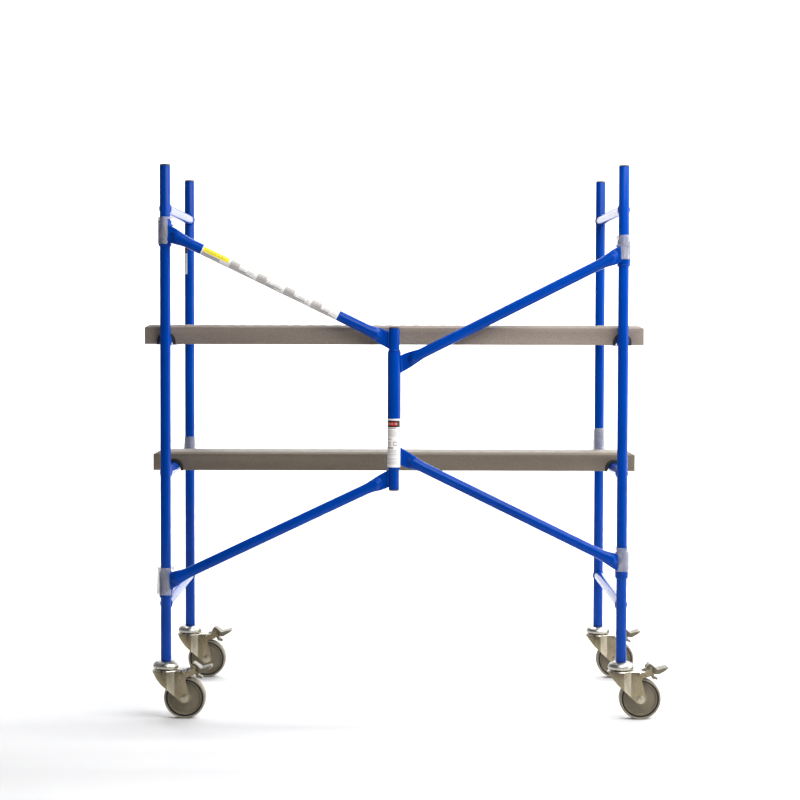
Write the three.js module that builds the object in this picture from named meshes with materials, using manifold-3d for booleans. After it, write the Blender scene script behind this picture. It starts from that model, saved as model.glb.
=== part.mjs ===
import * as THREE from 'three';
import { mergeVertices } from 'three/addons/utils/BufferGeometryUtils.js';
import Module from 'manifold-3d';

// Folding baker scaffold. Millimetres, +Z up, +X from the left end frame to
// the right one, +Y from the folding gate at the front to the open rear side.
// Everything is laid out about the middle of the gate on the floor, and the
// whole group is then moved so that the origin is the bottom centre of the
// bounding box.

// ---- driving dimensions -------------------------------------------------
const SPAN = 1101;            // left post axis to right post axis
const DEPTH = 560;            // front post axis to rear post axis
const TUBE_R = 12.7;          // 1 in tube
const TUBE_IN = 11.1;         // its bore
const POST_BOTTOM = 139;      // top of the caster's bearing cup
const POST_TOP = 1333.2;
const RUNG_PITCH = 317.5;
const RUNG_4 = 277;           // lowest rung axis
const SLEEVE_R = 15.9;        // 1 1/4 in hinge sleeve
const SLEEVE_IN = 13.2;
const COLLAR_R = 16;
const GAP = 0.3;

const SLEEVES = {             // hinge sleeves on the front posts: [bottom, top]
  left_upper: [1145, 1201],
  left_lower: [298, 355],
  right_upper: [1099, 1157],
  right_lower: [347.5, 405],
};
const COLLAR_H = 6;

const PIVOT_BOTTOM = 554.7;   // pivot tube in the middle of the gate
const PIVOT_TOP = 944.3;
const PIVOT_SLEEVE = [608, 887];

const FAN_H = 21;             // half height of a flattened brace end
const FAN_W = 2.6;            // half thickness of a flattened brace end
const FAN_L = 62;             // length of the flattening
const LAP_Y = -(SLEEVE_R + GAP + FAN_W);   // outer ends lie flat on the front of the hinge sleeves
const BRACES = {              // [x, y, z] of both ends
  left_upper: [[-545, LAP_Y, 1172], [-13.1, 0, 915.5]],
  left_lower: [[-546.5, LAP_Y, 330], [-13.1, 0, 581.3]],
  right_upper: [[16.3, 0, 858], [545, LAP_Y, 1125]],
  right_lower: [[16.3, 0, 635], [549.5, LAP_Y, 376]],
};

const PLANK_L = 1206;
const PLANK_D = 125;
const PLANK_BELOW = 8;        // plank's lower edge below the rung axis
const PLANK_ABOVE = 38.5;     // deck surface above the rung axis
const PLANK_T = 2;            // sheet thickness
const PLANK_LIP = 10;
const UPPER_PLANK_Y = 20;
const LOWER_PLANK_Y = 185;
const SADDLE_IN = 14.7;
const SADDLE_OUT = 21.7;
const NOTCH_R = 22;

const WHEEL_R = 50.8;         // 4 in wheel
const WHEEL_SIDES = 24;
const WHEEL_HALF_W = 16;
const TRAIL = 46;             // wheel axle behind the swivel axis
const AXLE_Z = WHEEL_R * Math.cos(Math.PI / WHEEL_SIDES);
const HEAD_R = 33;            // round head of the fork
const CHEEK_Y = 22;           // outer face of the fork's cheeks
const CHEEK_T = 2.5;
const FORK_TOP = 118.7;
const RACE_TOP = 120.7;
const CUP_BOTTOM = 121;
const PEDAL_PIVOT = [66, 125];
const PEDAL_TRAVEL = 18 * Math.PI / 180;

// ---- materials ----------------------------------------------------------
const paint = (c, r = 0.28, m = 0.25) => new THREE.MeshStandardMaterial({ color: c, roughness: r, metalness: m });
const BLUE = () => paint(0x0a45b4);
const BLACK = () => paint(0x141416, 0.6, 0);
const GREY = () => paint(0x7a7068, 0.5, 0.3);
const ZINC = () => paint(0xb9b2a4, 0.3, 0.9);
const TREAD = () => paint(0x8d8880, 0.75, 0);
const CORE = () => paint(0x6f675d, 0.6, 0);
const STEEL = () => paint(0xb4aea2, 0.35, 0.9);

// ---- geometry helpers ---------------------------------------------------
const wasm = await Module();
wasm.setup();

// Merge shared corners, drop slivers and make the faces point outwards.
function clean(geometry) {
  let g = geometry.index ? geometry.clone() : geometry.clone();
  g.deleteAttribute('normal');
  g.deleteAttribute('uv');
  g = mergeVertices(g, 1e-3);
  const p = g.attributes.position, ix = g.index.array, keep = [];
  let volume = 0;
  const a = new THREE.Vector3(), b = new THREE.Vector3(), c = new THREE.Vector3();
  for (let i = 0; i < ix.length; i += 3) {
    const [i0, i1, i2] = [ix[i], ix[i + 1], ix[i + 2]];
    if (i0 === i1 || i1 === i2 || i0 === i2) continue;
    a.fromBufferAttribute(p, i0); b.fromBufferAttribute(p, i1); c.fromBufferAttribute(p, i2);
    volume += a.dot(b.cross(c));
    keep.push(i0, i1, i2);
  }
  if (volume < 0) for (let i = 0; i < keep.length; i += 3) [keep[i], keep[i + 1]] = [keep[i + 1], keep[i]];
  g.setIndex(keep);
  return g;
}

function solid(geometry) {
  const g = clean(geometry);
  return new wasm.Manifold(new wasm.Mesh({
    numProp: 3,
    vertProperties: new Float32Array(g.attributes.position.array),
    triVerts: new Uint32Array(g.index.array),
  }));
}

function fromSolid(m) {
  const mesh = m.getMesh();
  const pos = new Float32Array(mesh.numVert * 3);
  for (let i = 0; i < mesh.numVert; i++) for (let k = 0; k < 3; k++) pos[3 * i + k] = mesh.vertProperties[mesh.numProp * i + k];
  const g = new THREE.BufferGeometry();
  g.setAttribute('position', new THREE.BufferAttribute(pos, 3));
  g.setIndex(Array.from(mesh.triVerts));
  return clean(g);
}

// Turned profile about +Z: [radius, z] pairs, on the axis at both ends or closed.
function turned(points, sides = 16, start = 0) {
  const g = new THREE.LatheGeometry(points.map(([r, z]) => new THREE.Vector2(r, z)), sides, start);
  g.rotateX(Math.PI / 2);
  return g;
}
const ring = (rIn, rOut, z0, z1, sides = 16) => turned([[rIn, z0], [rOut, z0], [rOut, z1], [rIn, z1], [rIn, z0]], sides);
const rod = (r, z0, z1, sides = 16) => turned([[0, z0], [r, z0], [r, z1], [0, z1]], sides);

// Outline in the XY plane extruded from z0 to z1.
function prism(points, z0, z1, holes = []) {
  const s = new THREE.Shape(points.map(([x, y]) => new THREE.Vector2(x, y)));
  for (const h of holes) s.holes.push(new THREE.Path(h.map(([x, y]) => new THREE.Vector2(x, y))));
  const g = new THREE.ExtrudeGeometry(s, { depth: z1 - z0, bevelEnabled: false });
  g.translate(0, 0, z0);
  return g;
}
// Outline in the XZ plane extruded from y0 to y1.
function plate(points, y0, y1, holes = []) {
  const g = prism(points, -y1, -y0, holes);
  g.rotateX(Math.PI / 2);
  return g;
}
const circle = (cx, cy, r, n) => Array.from({ length: n }, (_, i) => {
  const t = 2 * Math.PI * i / n;
  return [cx + r * Math.cos(t), cy + r * Math.sin(t)];
});
const block = (x0, x1, y0, y1, z0, z1) => new THREE.BoxGeometry(x1 - x0, y1 - y0, z1 - z0)
  .translate((x0 + x1) / 2, (y0 + y1) / 2, (z0 + z1) / 2);

const root = new THREE.Group();
function add(parent, name, geometry, material, x = 0, y = 0, z = 0) {
  const mesh = new THREE.Mesh(geometry, material);
  mesh.name = name;
  mesh.position.set(x, y, z);
  parent.add(mesh);
  return mesh;
}

// ---- posts --------------------------------------------------------------
// Tube with a stop collar welded under each hinge sleeve.
function postProfile(collars) {
  const p = [[TUBE_IN, POST_BOTTOM], [TUBE_R, POST_BOTTOM]];
  for (const top of [...collars].sort((a, b) => a - b)) {
    p.push([TUBE_R, top - COLLAR_H], [COLLAR_R, top - COLLAR_H + 1], [COLLAR_R, top], [TUBE_R, top]);
  }
  p.push([TUBE_R, POST_TOP], [TUBE_IN, POST_TOP], [TUBE_IN, POST_BOTTOM]);
  return p;
}

// ---- rungs --------------------------------------------------------------
// Tube along +Y between the posts, swelling into the weld at each end and
// cut to the shape of the post.
function rungGeometry(z, collars) {
  const y0 = 2, y1 = DEPTH - 2, flare = 16.6;
  const outer = [[flare, y0], [flare - 0.4, y0 + 8], [TUBE_R, y0 + 15], [TUBE_R, y1 - 15], [flare - 0.4, y1 - 8], [flare, y1]];
  const profile = [[TUBE_IN, y0], ...outer, [TUBE_IN, y1], [TUBE_IN, y0]];
  const g = new THREE.LatheGeometry(profile.map(([r, y]) => new THREE.Vector2(r, y)), 12);
  let s = solid(g);
  for (const y of [0, DEPTH]) {
    s = s.subtract(solid(rod(TUBE_R + 0.45, -40, 40, 16).translate(0, y, 0)));
  }
  for (const top of collars) {
    if (Math.abs(top - z) < 40) {
      s = s.subtract(solid(rod(COLLAR_R + 0.4, top - COLLAR_H - GAP - z, top + GAP - z, 16)));
      s = s.subtract(solid(rod(SLEEVE_R + 0.4, top - z, top + 30 - z, 16)));
    }
  }
  return fromSolid(s);
}

// ---- caster -------------------------------------------------------------
// All of it is drawn about the swivel axis, trailing to +X.
const cupGeometry = () => turned([
  [0, 109], [12, 109], [12, 115.4], [8, 115.4], [8, CUP_BOTTOM], [30, CUP_BOTTOM], [31.4, 124],
  [31.4, 129], [27.5, 136], [20, 138.7], [10.6, 138.7], [10.6, 198], [0, 198],
], 12);

function headOutline(r, cheek, xEnd, n = 8) {
  // round head that runs out into two flat cheeks
  const a0 = -80 * Math.PI / 180, a1 = -Math.PI;
  const lower = [];
  for (let i = 0; i <= n; i++) {
    const a = a0 + (a1 - a0) * i / n;
    lower.push([r * Math.cos(a), r * Math.sin(a)]);
  }
  const pts = [[xEnd, -cheek], [23, -cheek], ...lower];
  const upper = pts.slice(0, -1).map(([x, y]) => [x, -y]).reverse();
  return [...pts, ...upper].reverse();
}

const CHEEK_SIDE = [
  [-34, 119.5], [-34, 116.5], [-23.6, 102.5], [-11.2, 87], [1.2, 76], [34.6, 43],
  [41, 38.8], [50, 38.7], [57, 42.5], [60, 50.5], [48.5, 96], [50.5, 101.5], [69, 106.2], [72, 111], [72, 127.5],
  [67, 131.3], [62.6, 127.8], [62, 119.5],
];

function forkGeometry() {
  const outer = solid(prism(headOutline(HEAD_R, CHEEK_Y, 74), 36, 134));
  const inner = solid(prism(headOutline(HEAD_R - CHEEK_T, CHEEK_Y - CHEEK_T, 80), 30, 140));
  const side = solid(plate(CHEEK_SIDE, -40, 40));
  let walls = outer.subtract(inner).intersect(side);
  const top = solid(prism(headOutline(HEAD_R - 0.05, CHEEK_Y - 0.05, 56), FORK_TOP - 3, FORK_TOP));
  const race = solid(rod(26, FORK_TOP - 1, RACE_TOP, 12));
  let fork = walls.add(top).add(race);
  fork = fork.subtract(solid(rod(8.6, 100, 130, 10)));
  const hole = (x, z, r) => solid(plate(circle(x, z, r, 8), -40, 40));
  fork = fork.subtract(hole(TRAIL, AXLE_Z, 7.1));
  fork = fork.subtract(hole(PEDAL_PIVOT[0], PEDAL_PIVOT[1], 3.2));
  fork = fork.intersect(solid(block(-40, 80, -34, 34, 30, 132)));
  return fromSolid(fork);
}

const lathedY = (points, sides) => {
  const g = new THREE.LatheGeometry(points.map(([r, y]) => new THREE.Vector2(r, y)), sides);
  return g;
};
// A flat of the many-sided wheel lies on the floor.
const treadGeometry = () => lathedY([[44.7, -14.5], [48.5, -WHEEL_HALF_W], [WHEEL_R, -12.5], [WHEEL_R, 12.5],
  [48.5, WHEEL_HALF_W], [44.7, 14.5], [44.7, -14.5]], WHEEL_SIDES).rotateY(Math.PI / WHEEL_SIDES);
const coreGeometry = () => lathedY([[6.9, -18.5], [13, -18.5], [15, -9], [37, -8], [41, -13], [44.2, -13], [44.2, 13],
  [41, 13], [37, 8], [15, 9], [13, 18.5], [6.9, 18.5], [6.9, -18.5]], 12);
const axleGeometry = () => lathedY([[0, -27.6], [9.6, -27.6], [9.6, -22.4], [6.2, -22.4], [6.2, 22.4],
  [9.6, 22.4], [9.6, 28], [0, 28]], 12);

function pedalGeometry() {
  const [px, pz] = PEDAL_PIVOT;
  // bent plate: inner end, ridge over the pin, valley, raised toe tab
  const inner = [[59.2, 119.8], [67.2, 136.4], [70.4, 136], [86.4, 123.4], [100, 126.7], [100, 122],
    [85.5, 118.4], [73.4, 126.6], [68.6, 131], [62.2, 118.6]];
  const tab = [[76, 131.6], [86.4, 123.4], [111.6, 129.6], [112.6, 126], [85.5, 118.4], [76, 124.6]];
  let s = solid(plate(inner, -18, 18)).add(solid(plate(tab, -22, 22)));
  s = s.add(solid(plate(circle(px, pz, 6, 8), -18, 18)));
  s = s.add(solid(plate(circle(px, pz, 2.6, 8), -21.8, 21.8)));
  // arm and shoe: the shoe's lower face meets the tread when the toe is down
  const arc = [];
  for (let i = 0; i <= 2; i++) {
    const a = (52 + 14 * i / 2) * Math.PI / 180;
    const x = TRAIL + (WHEEL_R + 0.45) * Math.cos(a) - px, z = AXLE_Z + (WHEEL_R + 0.45) * Math.sin(a) - pz;
    const c = Math.cos(-PEDAL_TRAVEL), n = Math.sin(-PEDAL_TRAVEL);
    arc.push([px + x * c + z * n, pz - x * n + z * c]);
  }
  const arm = [[px - 3, pz - 3], ...arc.slice().reverse(), [88.5, 100.2], [80, 103.5], [77.5, 119], [px + 5, pz]];
  s = s.add(solid(plate(arm, -11, 11)));
  return fromSolid(s);
}

const GEOMETRY = { fork: forkGeometry(), tread: treadGeometry(), core: coreGeometry(), axle: axleGeometry(), pedal: pedalGeometry(), cup: cupGeometry() };

function caster(parent, tag, x, y) {
  const g = new THREE.Group();
  g.position.set(x, y, 0);
  parent.add(g);
  add(g, `${tag}_caster_stem`, clean(GEOMETRY.cup), ZINC());
  add(g, `${tag}_caster_fork`, clean(GEOMETRY.fork), ZINC());
  add(g, `${tag}_wheel_tread`, clean(GEOMETRY.tread), TREAD(), TRAIL, 0, AXLE_Z);
  add(g, `${tag}_wheel_core`, clean(GEOMETRY.core), CORE(), TRAIL, 0, AXLE_Z);
  add(g, `${tag}_axle_bolt`, clean(GEOMETRY.axle), STEEL(), TRAIL, 0, AXLE_Z);
  add(g, `${tag}_brake_pedal`, clean(GEOMETRY.pedal), ZINC());
}

// ---- end frames ---------------------------------------------------------
for (const [side, sx] of [['left', -1], ['right', 1]]) {
  const frame = new THREE.Group();
  frame.position.set(sx * SPAN / 2, 0, 0);
  root.add(frame);
  const collars = [SLEEVES[`${side}_upper`][0] - GAP, SLEEVES[`${side}_lower`][0] - GAP];
  add(frame, `${side}_front_post`, clean(turned(postProfile(collars))), BLUE());
  add(frame, `${side}_rear_post`, clean(turned(postProfile([]))), BLUE(), 0, DEPTH, 0);
  for (let i = 1; i <= 4; i++) {
    const z = RUNG_4 + (4 - i) * RUNG_PITCH;
    add(frame, `${side}_rung_${i}`, rungGeometry(z, collars), BLUE(), 0, 0, z);
  }
  const cap = turned([[0, POST_TOP - 18], [10.6, POST_TOP - 18], [10.6, POST_TOP + GAP], [12.9, POST_TOP + GAP],
    [12.9, POST_TOP + 2], [12, POST_TOP + 2.7], [0, POST_TOP + 2.7]], 12);
  add(frame, `${side}_front_post_cap`, clean(cap), BLACK());
  add(frame, `${side}_rear_post_cap`, clean(cap), BLACK(), 0, DEPTH, 0);
  caster(frame, `${side}_front`, 0, 0);
  caster(frame, `${side}_rear`, 0, DEPTH);
}

// ---- gate ---------------------------------------------------------------
// Brace: round tube whose ends are flattened upright and cut vertical.
function braceGeometry([[x0, y0, z0], [x1, y1, z1]], around = 12) {
  const L = Math.hypot(x1 - x0, z1 - z0);
  const ux = (x1 - x0) / L, uz = (z1 - z0) / L;
  const stations = [];
  const steps = [0, 0.3, 0.55, 0.78, 1];
  for (const s of steps) stations.push([s * FAN_L / L, 1 - s]);
  for (const s of steps.slice().reverse()) stations.push([1 - s * FAN_L / L, 1 - s]);
  const smooth = (v) => v * v * (3 - 2 * v);
  const rings = [];
  for (const wall of [0, 1.6]) {
    const set = stations.map(([t, f]) => {
      const k = smooth(f);
      const cx = x0 + (x1 - x0) * t, cy = y0 + (y1 - y0) * t, cz = z0 + (z1 - z0) * t;
      // section turns from square across the tube to vertical at the cut end
      let vx = -uz * (1 - k), vz = ux * (1 - k) + k;
      const n = Math.hypot(vx, vz);
      vx /= n; vz /= n;
      const h = TUBE_R + (FAN_H - TUBE_R) * k - wall;
      const w = TUBE_R + (FAN_W - TUBE_R) * k - wall;
      return Array.from({ length: around }, (_, i) => {
        const a = 2 * Math.PI * i / around;
        return [cx + vx * h * Math.cos(a), cy + w * Math.sin(a), cz + vz * h * Math.cos(a)];
      });
    });
    rings.push(...(wall ? set.reverse() : set));
  }
  const pos = [], index = [];
  for (const r of rings) for (const p of r) pos.push(...p);
  const R = rings.length;
  for (let j = 0; j < R; j++) for (let i = 0; i < around; i++) {
    const a = j * around + i, b = j * around + (i + 1) % around;
    const c = ((j + 1) % R) * around + i, d = ((j + 1) % R) * around + (i + 1) % around;
    index.push(a, b, d, a, d, c);
  }
  const g = new THREE.BufferGeometry();
  g.setAttribute('position', new THREE.BufferAttribute(new Float32Array(pos), 3));
  g.setIndex(index);
  return clean(g);
}

const leftGate = new THREE.Group(), rightGate = new THREE.Group();
root.add(leftGate, rightGate);
for (const [side, gate, sx] of [['left', leftGate, -1], ['right', rightGate, 1]]) {
  for (const level of ['upper', 'lower']) {
    const [b, t] = SLEEVES[`${side}_${level}`];
    add(gate, `gate_${side}_${level}_sleeve`, clean(ring(SLEEVE_IN, SLEEVE_R, b, t)), BLUE(), sx * SPAN / 2, 0, 0);
    add(gate, `gate_${side}_${level}_brace`, braceGeometry(BRACES[`${side}_${level}`]), BLUE());
  }
}
const [PS0, PS1] = PIVOT_SLEEVE;
add(leftGate, 'gate_pivot_tube', clean(turned([
  [TUBE_IN, PIVOT_BOTTOM], [TUBE_R, PIVOT_BOTTOM], [TUBE_R, PS0 - 4.4], [15.3, PS0 - 3.4], [15.3, PS0 - 0.4], [TUBE_R, PS0 - 0.4],
  [TUBE_R, PS1 + 0.4], [15.3, PS1 + 0.4], [15.3, PS1 + 3.4], [TUBE_R, PS1 + 4.4], [TUBE_R, PIVOT_TOP], [TUBE_IN, PIVOT_TOP],
  [TUBE_IN, PIVOT_BOTTOM],
])), BLUE());
add(leftGate, 'gate_pivot_top_cap', clean(turned([[0, PIVOT_TOP - 16], [10.6, PIVOT_TOP - 16], [10.6, PIVOT_TOP + GAP], [12.9, PIVOT_TOP + GAP],
  [12.9, PIVOT_TOP + 2], [12, PIVOT_TOP + 2.7], [0, PIVOT_TOP + 2.7]], 12)), BLACK());
add(leftGate, 'gate_pivot_bottom_cap', clean(turned([[0, PIVOT_BOTTOM - 2.7], [12, PIVOT_BOTTOM - 2.7], [12.9, PIVOT_BOTTOM - 2],
  [12.9, PIVOT_BOTTOM - GAP], [10.6, PIVOT_BOTTOM - GAP], [10.6, PIVOT_BOTTOM + 16], [0, PIVOT_BOTTOM + 16]], 12)), BLACK());
add(rightGate, 'gate_pivot_sleeve', clean(ring(SLEEVE_IN, SLEEVE_R, PS0, PS1)), BLUE());

// ---- planks -------------------------------------------------------------
// Pressed channel with closed ends, notched front and back over the rungs.
function deckGeometry() {
  const h0 = -PLANK_BELOW, h1 = PLANK_ABOVE, t = PLANK_T, d = PLANK_D, c = 2.2, half = PLANK_L / 2;
  const section = [
    [0, h0], [PLANK_LIP, h0], [PLANK_LIP, h0 + t], [t, h0 + t], [t, h1 - t], [d - t, h1 - t], [d - t, h0 + t],
    [d - PLANK_LIP, h0 + t], [d - PLANK_LIP, h0], [d, h0], [d, h1 - c], [d - c, h1], [c, h1], [0, h1 - c],
  ];
  // the section lies in YZ and runs along X
  const g = prism(section, -half, half);
  g.applyMatrix4(new THREE.Matrix4().set(0, 0, 1, 0, 1, 0, 0, 0, 0, 1, 0, 0, 0, 0, 0, 1));
  let s = solid(g);
  for (const x of [-half, half - t]) s = s.add(solid(block(x, x + t, 1, d - 1, h0 + 0.5, h1 - 1)));
  const cut = notchOutline(NOTCH_R + 0.4, -1.7, h0 - 6, 10);
  for (const x of [-SPAN / 2, SPAN / 2]) s = s.subtract(solid(plate(cut.map(([u, v]) => [u + x, v]), -20, d + 20)));
  return fromSolid(s);
}
function notchOutline(r, zc, zEnd, n) {
  const p = [[r, zEnd]];
  for (let i = 0; i <= n; i++) {
    const a = Math.PI * i / n;
    p.push([r * Math.cos(a), zc + r * Math.sin(a)]);
  }
  p.push([-r, zEnd]);
  return p;
}
function saddleGeometry() {
  const zc = TUBE_R + GAP - SADDLE_IN, end = -PLANK_BELOW - 1;
  const outer = notchOutline(SADDLE_OUT, zc, end, 10);
  const n = 10, inner = [[-SADDLE_IN - 1.9, end], [-SADDLE_IN, -3]];
  for (let i = 0; i <= n; i++) {
    const a = Math.PI * (1 - i / n);
    inner.push([SADDLE_IN * Math.cos(a), zc + SADDLE_IN * Math.sin(a)]);
  }
  inner.push([SADDLE_IN, -3], [SADDLE_IN + 1.9, end]);
  return clean(plate([...outer, ...inner], -0.6, PLANK_D + 0.6));
}
const SADDLE = saddleGeometry(), DECK = deckGeometry();
for (const [level, y, rung] of [['upper', UPPER_PLANK_Y, 2], ['lower', LOWER_PLANK_Y, 3]]) {
  const plank = new THREE.Group();
  plank.position.set(0, y, RUNG_4 + (4 - rung) * RUNG_PITCH);
  root.add(plank);
  add(plank, `${level}_plank_deck`, clean(DECK), GREY());
  add(plank, `${level}_plank_left_saddle`, clean(SADDLE), BLACK(), -SPAN / 2, 0, 0);
  add(plank, `${level}_plank_right_saddle`, clean(SADDLE), BLACK(), SPAN / 2, 0, 0);
}

// ---- origin at the bottom centre of the bounding box ---------------------
root.updateMatrixWorld(true);
const box = new THREE.Box3().setFromObject(root, true);
root.position.set(-(box.min.x + box.max.x) / 2, -(box.min.y + box.max.y) / 2, -box.min.z);
root.updateMatrixWorld(true);

export default root;
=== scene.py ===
import math

import bmesh
import bpy
import numpy as np
from mathutils import Matrix, Vector, noise


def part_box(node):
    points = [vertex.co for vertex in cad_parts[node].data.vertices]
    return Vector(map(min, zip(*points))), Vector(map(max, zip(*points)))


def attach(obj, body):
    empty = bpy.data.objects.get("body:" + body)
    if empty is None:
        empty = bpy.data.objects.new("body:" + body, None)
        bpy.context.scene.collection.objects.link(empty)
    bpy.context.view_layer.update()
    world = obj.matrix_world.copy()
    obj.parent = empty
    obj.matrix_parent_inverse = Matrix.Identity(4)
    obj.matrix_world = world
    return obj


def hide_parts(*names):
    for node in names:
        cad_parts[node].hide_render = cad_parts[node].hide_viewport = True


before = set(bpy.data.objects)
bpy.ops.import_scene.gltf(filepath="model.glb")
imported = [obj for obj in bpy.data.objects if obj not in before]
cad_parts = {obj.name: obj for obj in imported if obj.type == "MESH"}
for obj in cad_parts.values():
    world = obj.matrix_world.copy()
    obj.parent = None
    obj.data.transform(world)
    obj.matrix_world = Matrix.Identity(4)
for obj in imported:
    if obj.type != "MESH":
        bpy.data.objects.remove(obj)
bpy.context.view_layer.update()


# ---- layout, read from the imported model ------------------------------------
# Shapes are written in millimetres about the middle of the gate on the floor.
def middle(node):
    lo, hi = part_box(node)
    return (lo + hi) / 2


LEFT, RIGHT = middle("left_front_post").x, middle("right_front_post").x
FRONT, REAR = middle("left_front_post").y, middle("left_rear_post").y
OX, OY = (LEFT + RIGHT) / 2, FRONT
SPAN, DEPTH = (RIGHT - LEFT) * 1000, (REAR - FRONT) * 1000
POST_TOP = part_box("left_front_post")[1].z * 1000
POST_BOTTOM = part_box("left_front_post")[0].z * 1000
RUNGS = [middle(f"left_rung_{i}").z * 1000 for i in (1, 2, 3, 4)]


def zrange(node):
    lo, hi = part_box(node)
    return lo.z * 1000, hi.z * 1000


TUBE_R, TUBE_IN = 12.7, 11.1
CAP_SKIRT = 1.4
SLEEVE_R, SLEEVE_IN = 15.9, 13.2
GAP = 0.3
WHEEL_R = 50.34
AXLE_Z = middle("left_front_wheel_tread").z * 1000
TRAIL = (middle("left_front_wheel_tread").x - LEFT) * 1000
PEDAL = (66.0, 125.0)


# ---- mesh building ---------------------------------------------------------
class Shape:
    def __init__(self):
        self.v, self.f, self.m, self.n = [], [], [], 0

    def add(self, v, f, m=0):
        v = np.asarray(v, float).reshape(-1, 3)
        self.v.append(v)
        b = self.n
        self.f.extend(tuple(i + b for i in q) for q in f)
        self.m.extend([m] * len(f) if np.isscalar(m) else list(m))
        self.n += len(v)
        return self

    def join(self, other, m=None):
        for v in [np.concatenate(other.v)]:
            self.add(v, other.f, other.m if m is None else m)
        return self

    def verts(self):
        return np.concatenate(self.v)

    def moved(self, x=0, y=0, z=0):
        s = Shape()
        s.add(self.verts() + np.array([x, y, z]), self.f, self.m)
        return s

    def mapped(self, fn):
        s = Shape()
        s.add(fn(self.verts()), self.f, self.m)
        return s


def to_row(v):
    return np.asarray(v, float) / 1000 + np.array([OX, OY, 0.0])


def raw_mesh(name, shape, metres=True):
    me = bpy.data.meshes.new(name)
    v = to_row(shape.verts()) if metres else shape.verts()
    me.from_pydata(v.tolist(), [], shape.f)
    me.polygons.foreach_set("material_index", np.array(shape.m, dtype=np.int32))
    bm = bmesh.new()
    bm.from_mesh(me)
    unit = 1e-3 if metres else 1.0
    bmesh.ops.remove_doubles(bm, verts=bm.verts, dist=0.002 * unit)
    bmesh.ops.dissolve_degenerate(bm, dist=0.002 * unit, edges=bm.edges)
    rims = [e for e in bm.edges if e.is_boundary]
    if rims:
        bmesh.ops.holes_fill(bm, edges=rims, sides=6)
    bmesh.ops.recalc_face_normals(bm, faces=bm.faces)
    bm.to_mesh(me)
    bm.free()
    me.update()
    return me


def finish_mesh(me, angle):
    me.polygons.foreach_set("use_smooth", np.array([len(p.vertices) <= 4 for p in me.polygons]))
    me.set_sharp_from_angle(angle=math.radians(angle))
    me.update()


def make(name, shape, mats, body, nodes=(), angle=38):
    me = raw_mesh(name, shape)
    finish_mesh(me, angle)
    for m in mats if isinstance(mats, (list, tuple)) else [mats]:
        me.materials.append(m)
    o = bpy.data.objects.new(name, me)
    bpy.context.scene.collection.objects.link(o)
    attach(o, body)
    if nodes:
        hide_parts(*([nodes] if isinstance(nodes, str) else nodes))
    return o


def soften(pts, r, n=3, closed=False):
    """Rounds the corners of an outline with short curves. r is one radius, or one per point."""
    out, count = [], len(pts)
    for i, p in enumerate(pts):
        if not closed and i in (0, count - 1):
            out.append(tuple(p))
            continue
        a, b, c = (
            np.array(pts[i - 1], float),
            np.array(p, float),
            np.array(pts[(i + 1) % count], float),
        )
        rad = r[i] if hasattr(r, "__len__") else r
        u, w = a - b, c - b
        lu, lw = np.linalg.norm(u), np.linalg.norm(w)
        if rad <= 0 or lu < 1e-9 or lw < 1e-9:
            out.append(tuple(p))
            continue
        half = math.acos(max(-1, min(1, float(u @ w) / (lu * lw)))) / 2
        if half > math.pi / 2 - 0.02:
            out.append(tuple(p))
            continue
        t = min(rad / math.tan(half), 0.46 * lu, 0.46 * lw)
        p0, p1 = b + u / lu * t, b + w / lw * t
        for k in range(n + 1):
            s = k / n
            out.append(tuple((1 - s) ** 2 * p0 + 2 * s * (1 - s) * b + s * s * p1))
    return out


def lathe(profile, seg=48, axis="z", closed=False, wobble=None):
    """Profile of (radius, height) turned about an axis. wobble(angle, index) adds to the radius."""
    s = Shape()
    verts, rows = [], []
    for j, (r, h) in enumerate(profile):
        if r < 1e-6:
            rows.append([len(verts)])
            verts.append((0, 0, h))
            continue
        row = []
        for i in range(seg):
            a = 2 * math.pi * i / seg
            rr = r + (wobble(a, j) if wobble else 0)
            row.append(len(verts))
            verts.append((rr * math.cos(a), rr * math.sin(a), h))
        rows.append(row)
    faces = []
    pairs = list(zip(rows, rows[1:])) + ([(rows[-1], rows[0])] if closed else [])
    for a, b in pairs:
        for i in range(seg):
            k = (i + 1) % seg
            if len(a) == 1 and len(b) == 1:
                break
            if len(a) == 1:
                faces.append((a[0], b[k], b[i]))
            elif len(b) == 1:
                faces.append((a[i], a[k], b[0]))
            else:
                faces.append((a[i], a[k], b[k], b[i]))
    v = np.array(verts)
    if axis == "y":
        v = v[:, [0, 2, 1]]
    elif axis == "x":
        v = v[:, [2, 0, 1]]
    s.add(v, faces)
    return s


def offset_outline(pts, d):
    """Closed outline moved inwards by d, whichever way round it runs."""
    p = np.asarray(pts, float)
    area = 0.5 * np.sum(p[:, 0] * np.roll(p[:, 1], -1) - np.roll(p[:, 0], -1) * p[:, 1])
    sgn = 1 if area > 0 else -1
    a, c = np.roll(p, 1, 0), np.roll(p, -1, 0)
    e0, e1 = p - a, c - p
    n0 = np.stack([-e0[:, 1], e0[:, 0]], 1) * sgn
    n1 = np.stack([-e1[:, 1], e1[:, 0]], 1) * sgn
    n0 /= np.maximum(np.linalg.norm(n0, axis=1, keepdims=True), 1e-9)
    n1 /= np.maximum(np.linalg.norm(n1, axis=1, keepdims=True), 1e-9)
    m = n0 + n1
    m /= np.maximum(np.linalg.norm(m, axis=1, keepdims=True), 1e-9)
    k = 1 / np.maximum((m * n1).sum(1, keepdims=True), 0.35)
    return p + m * k * d


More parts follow.
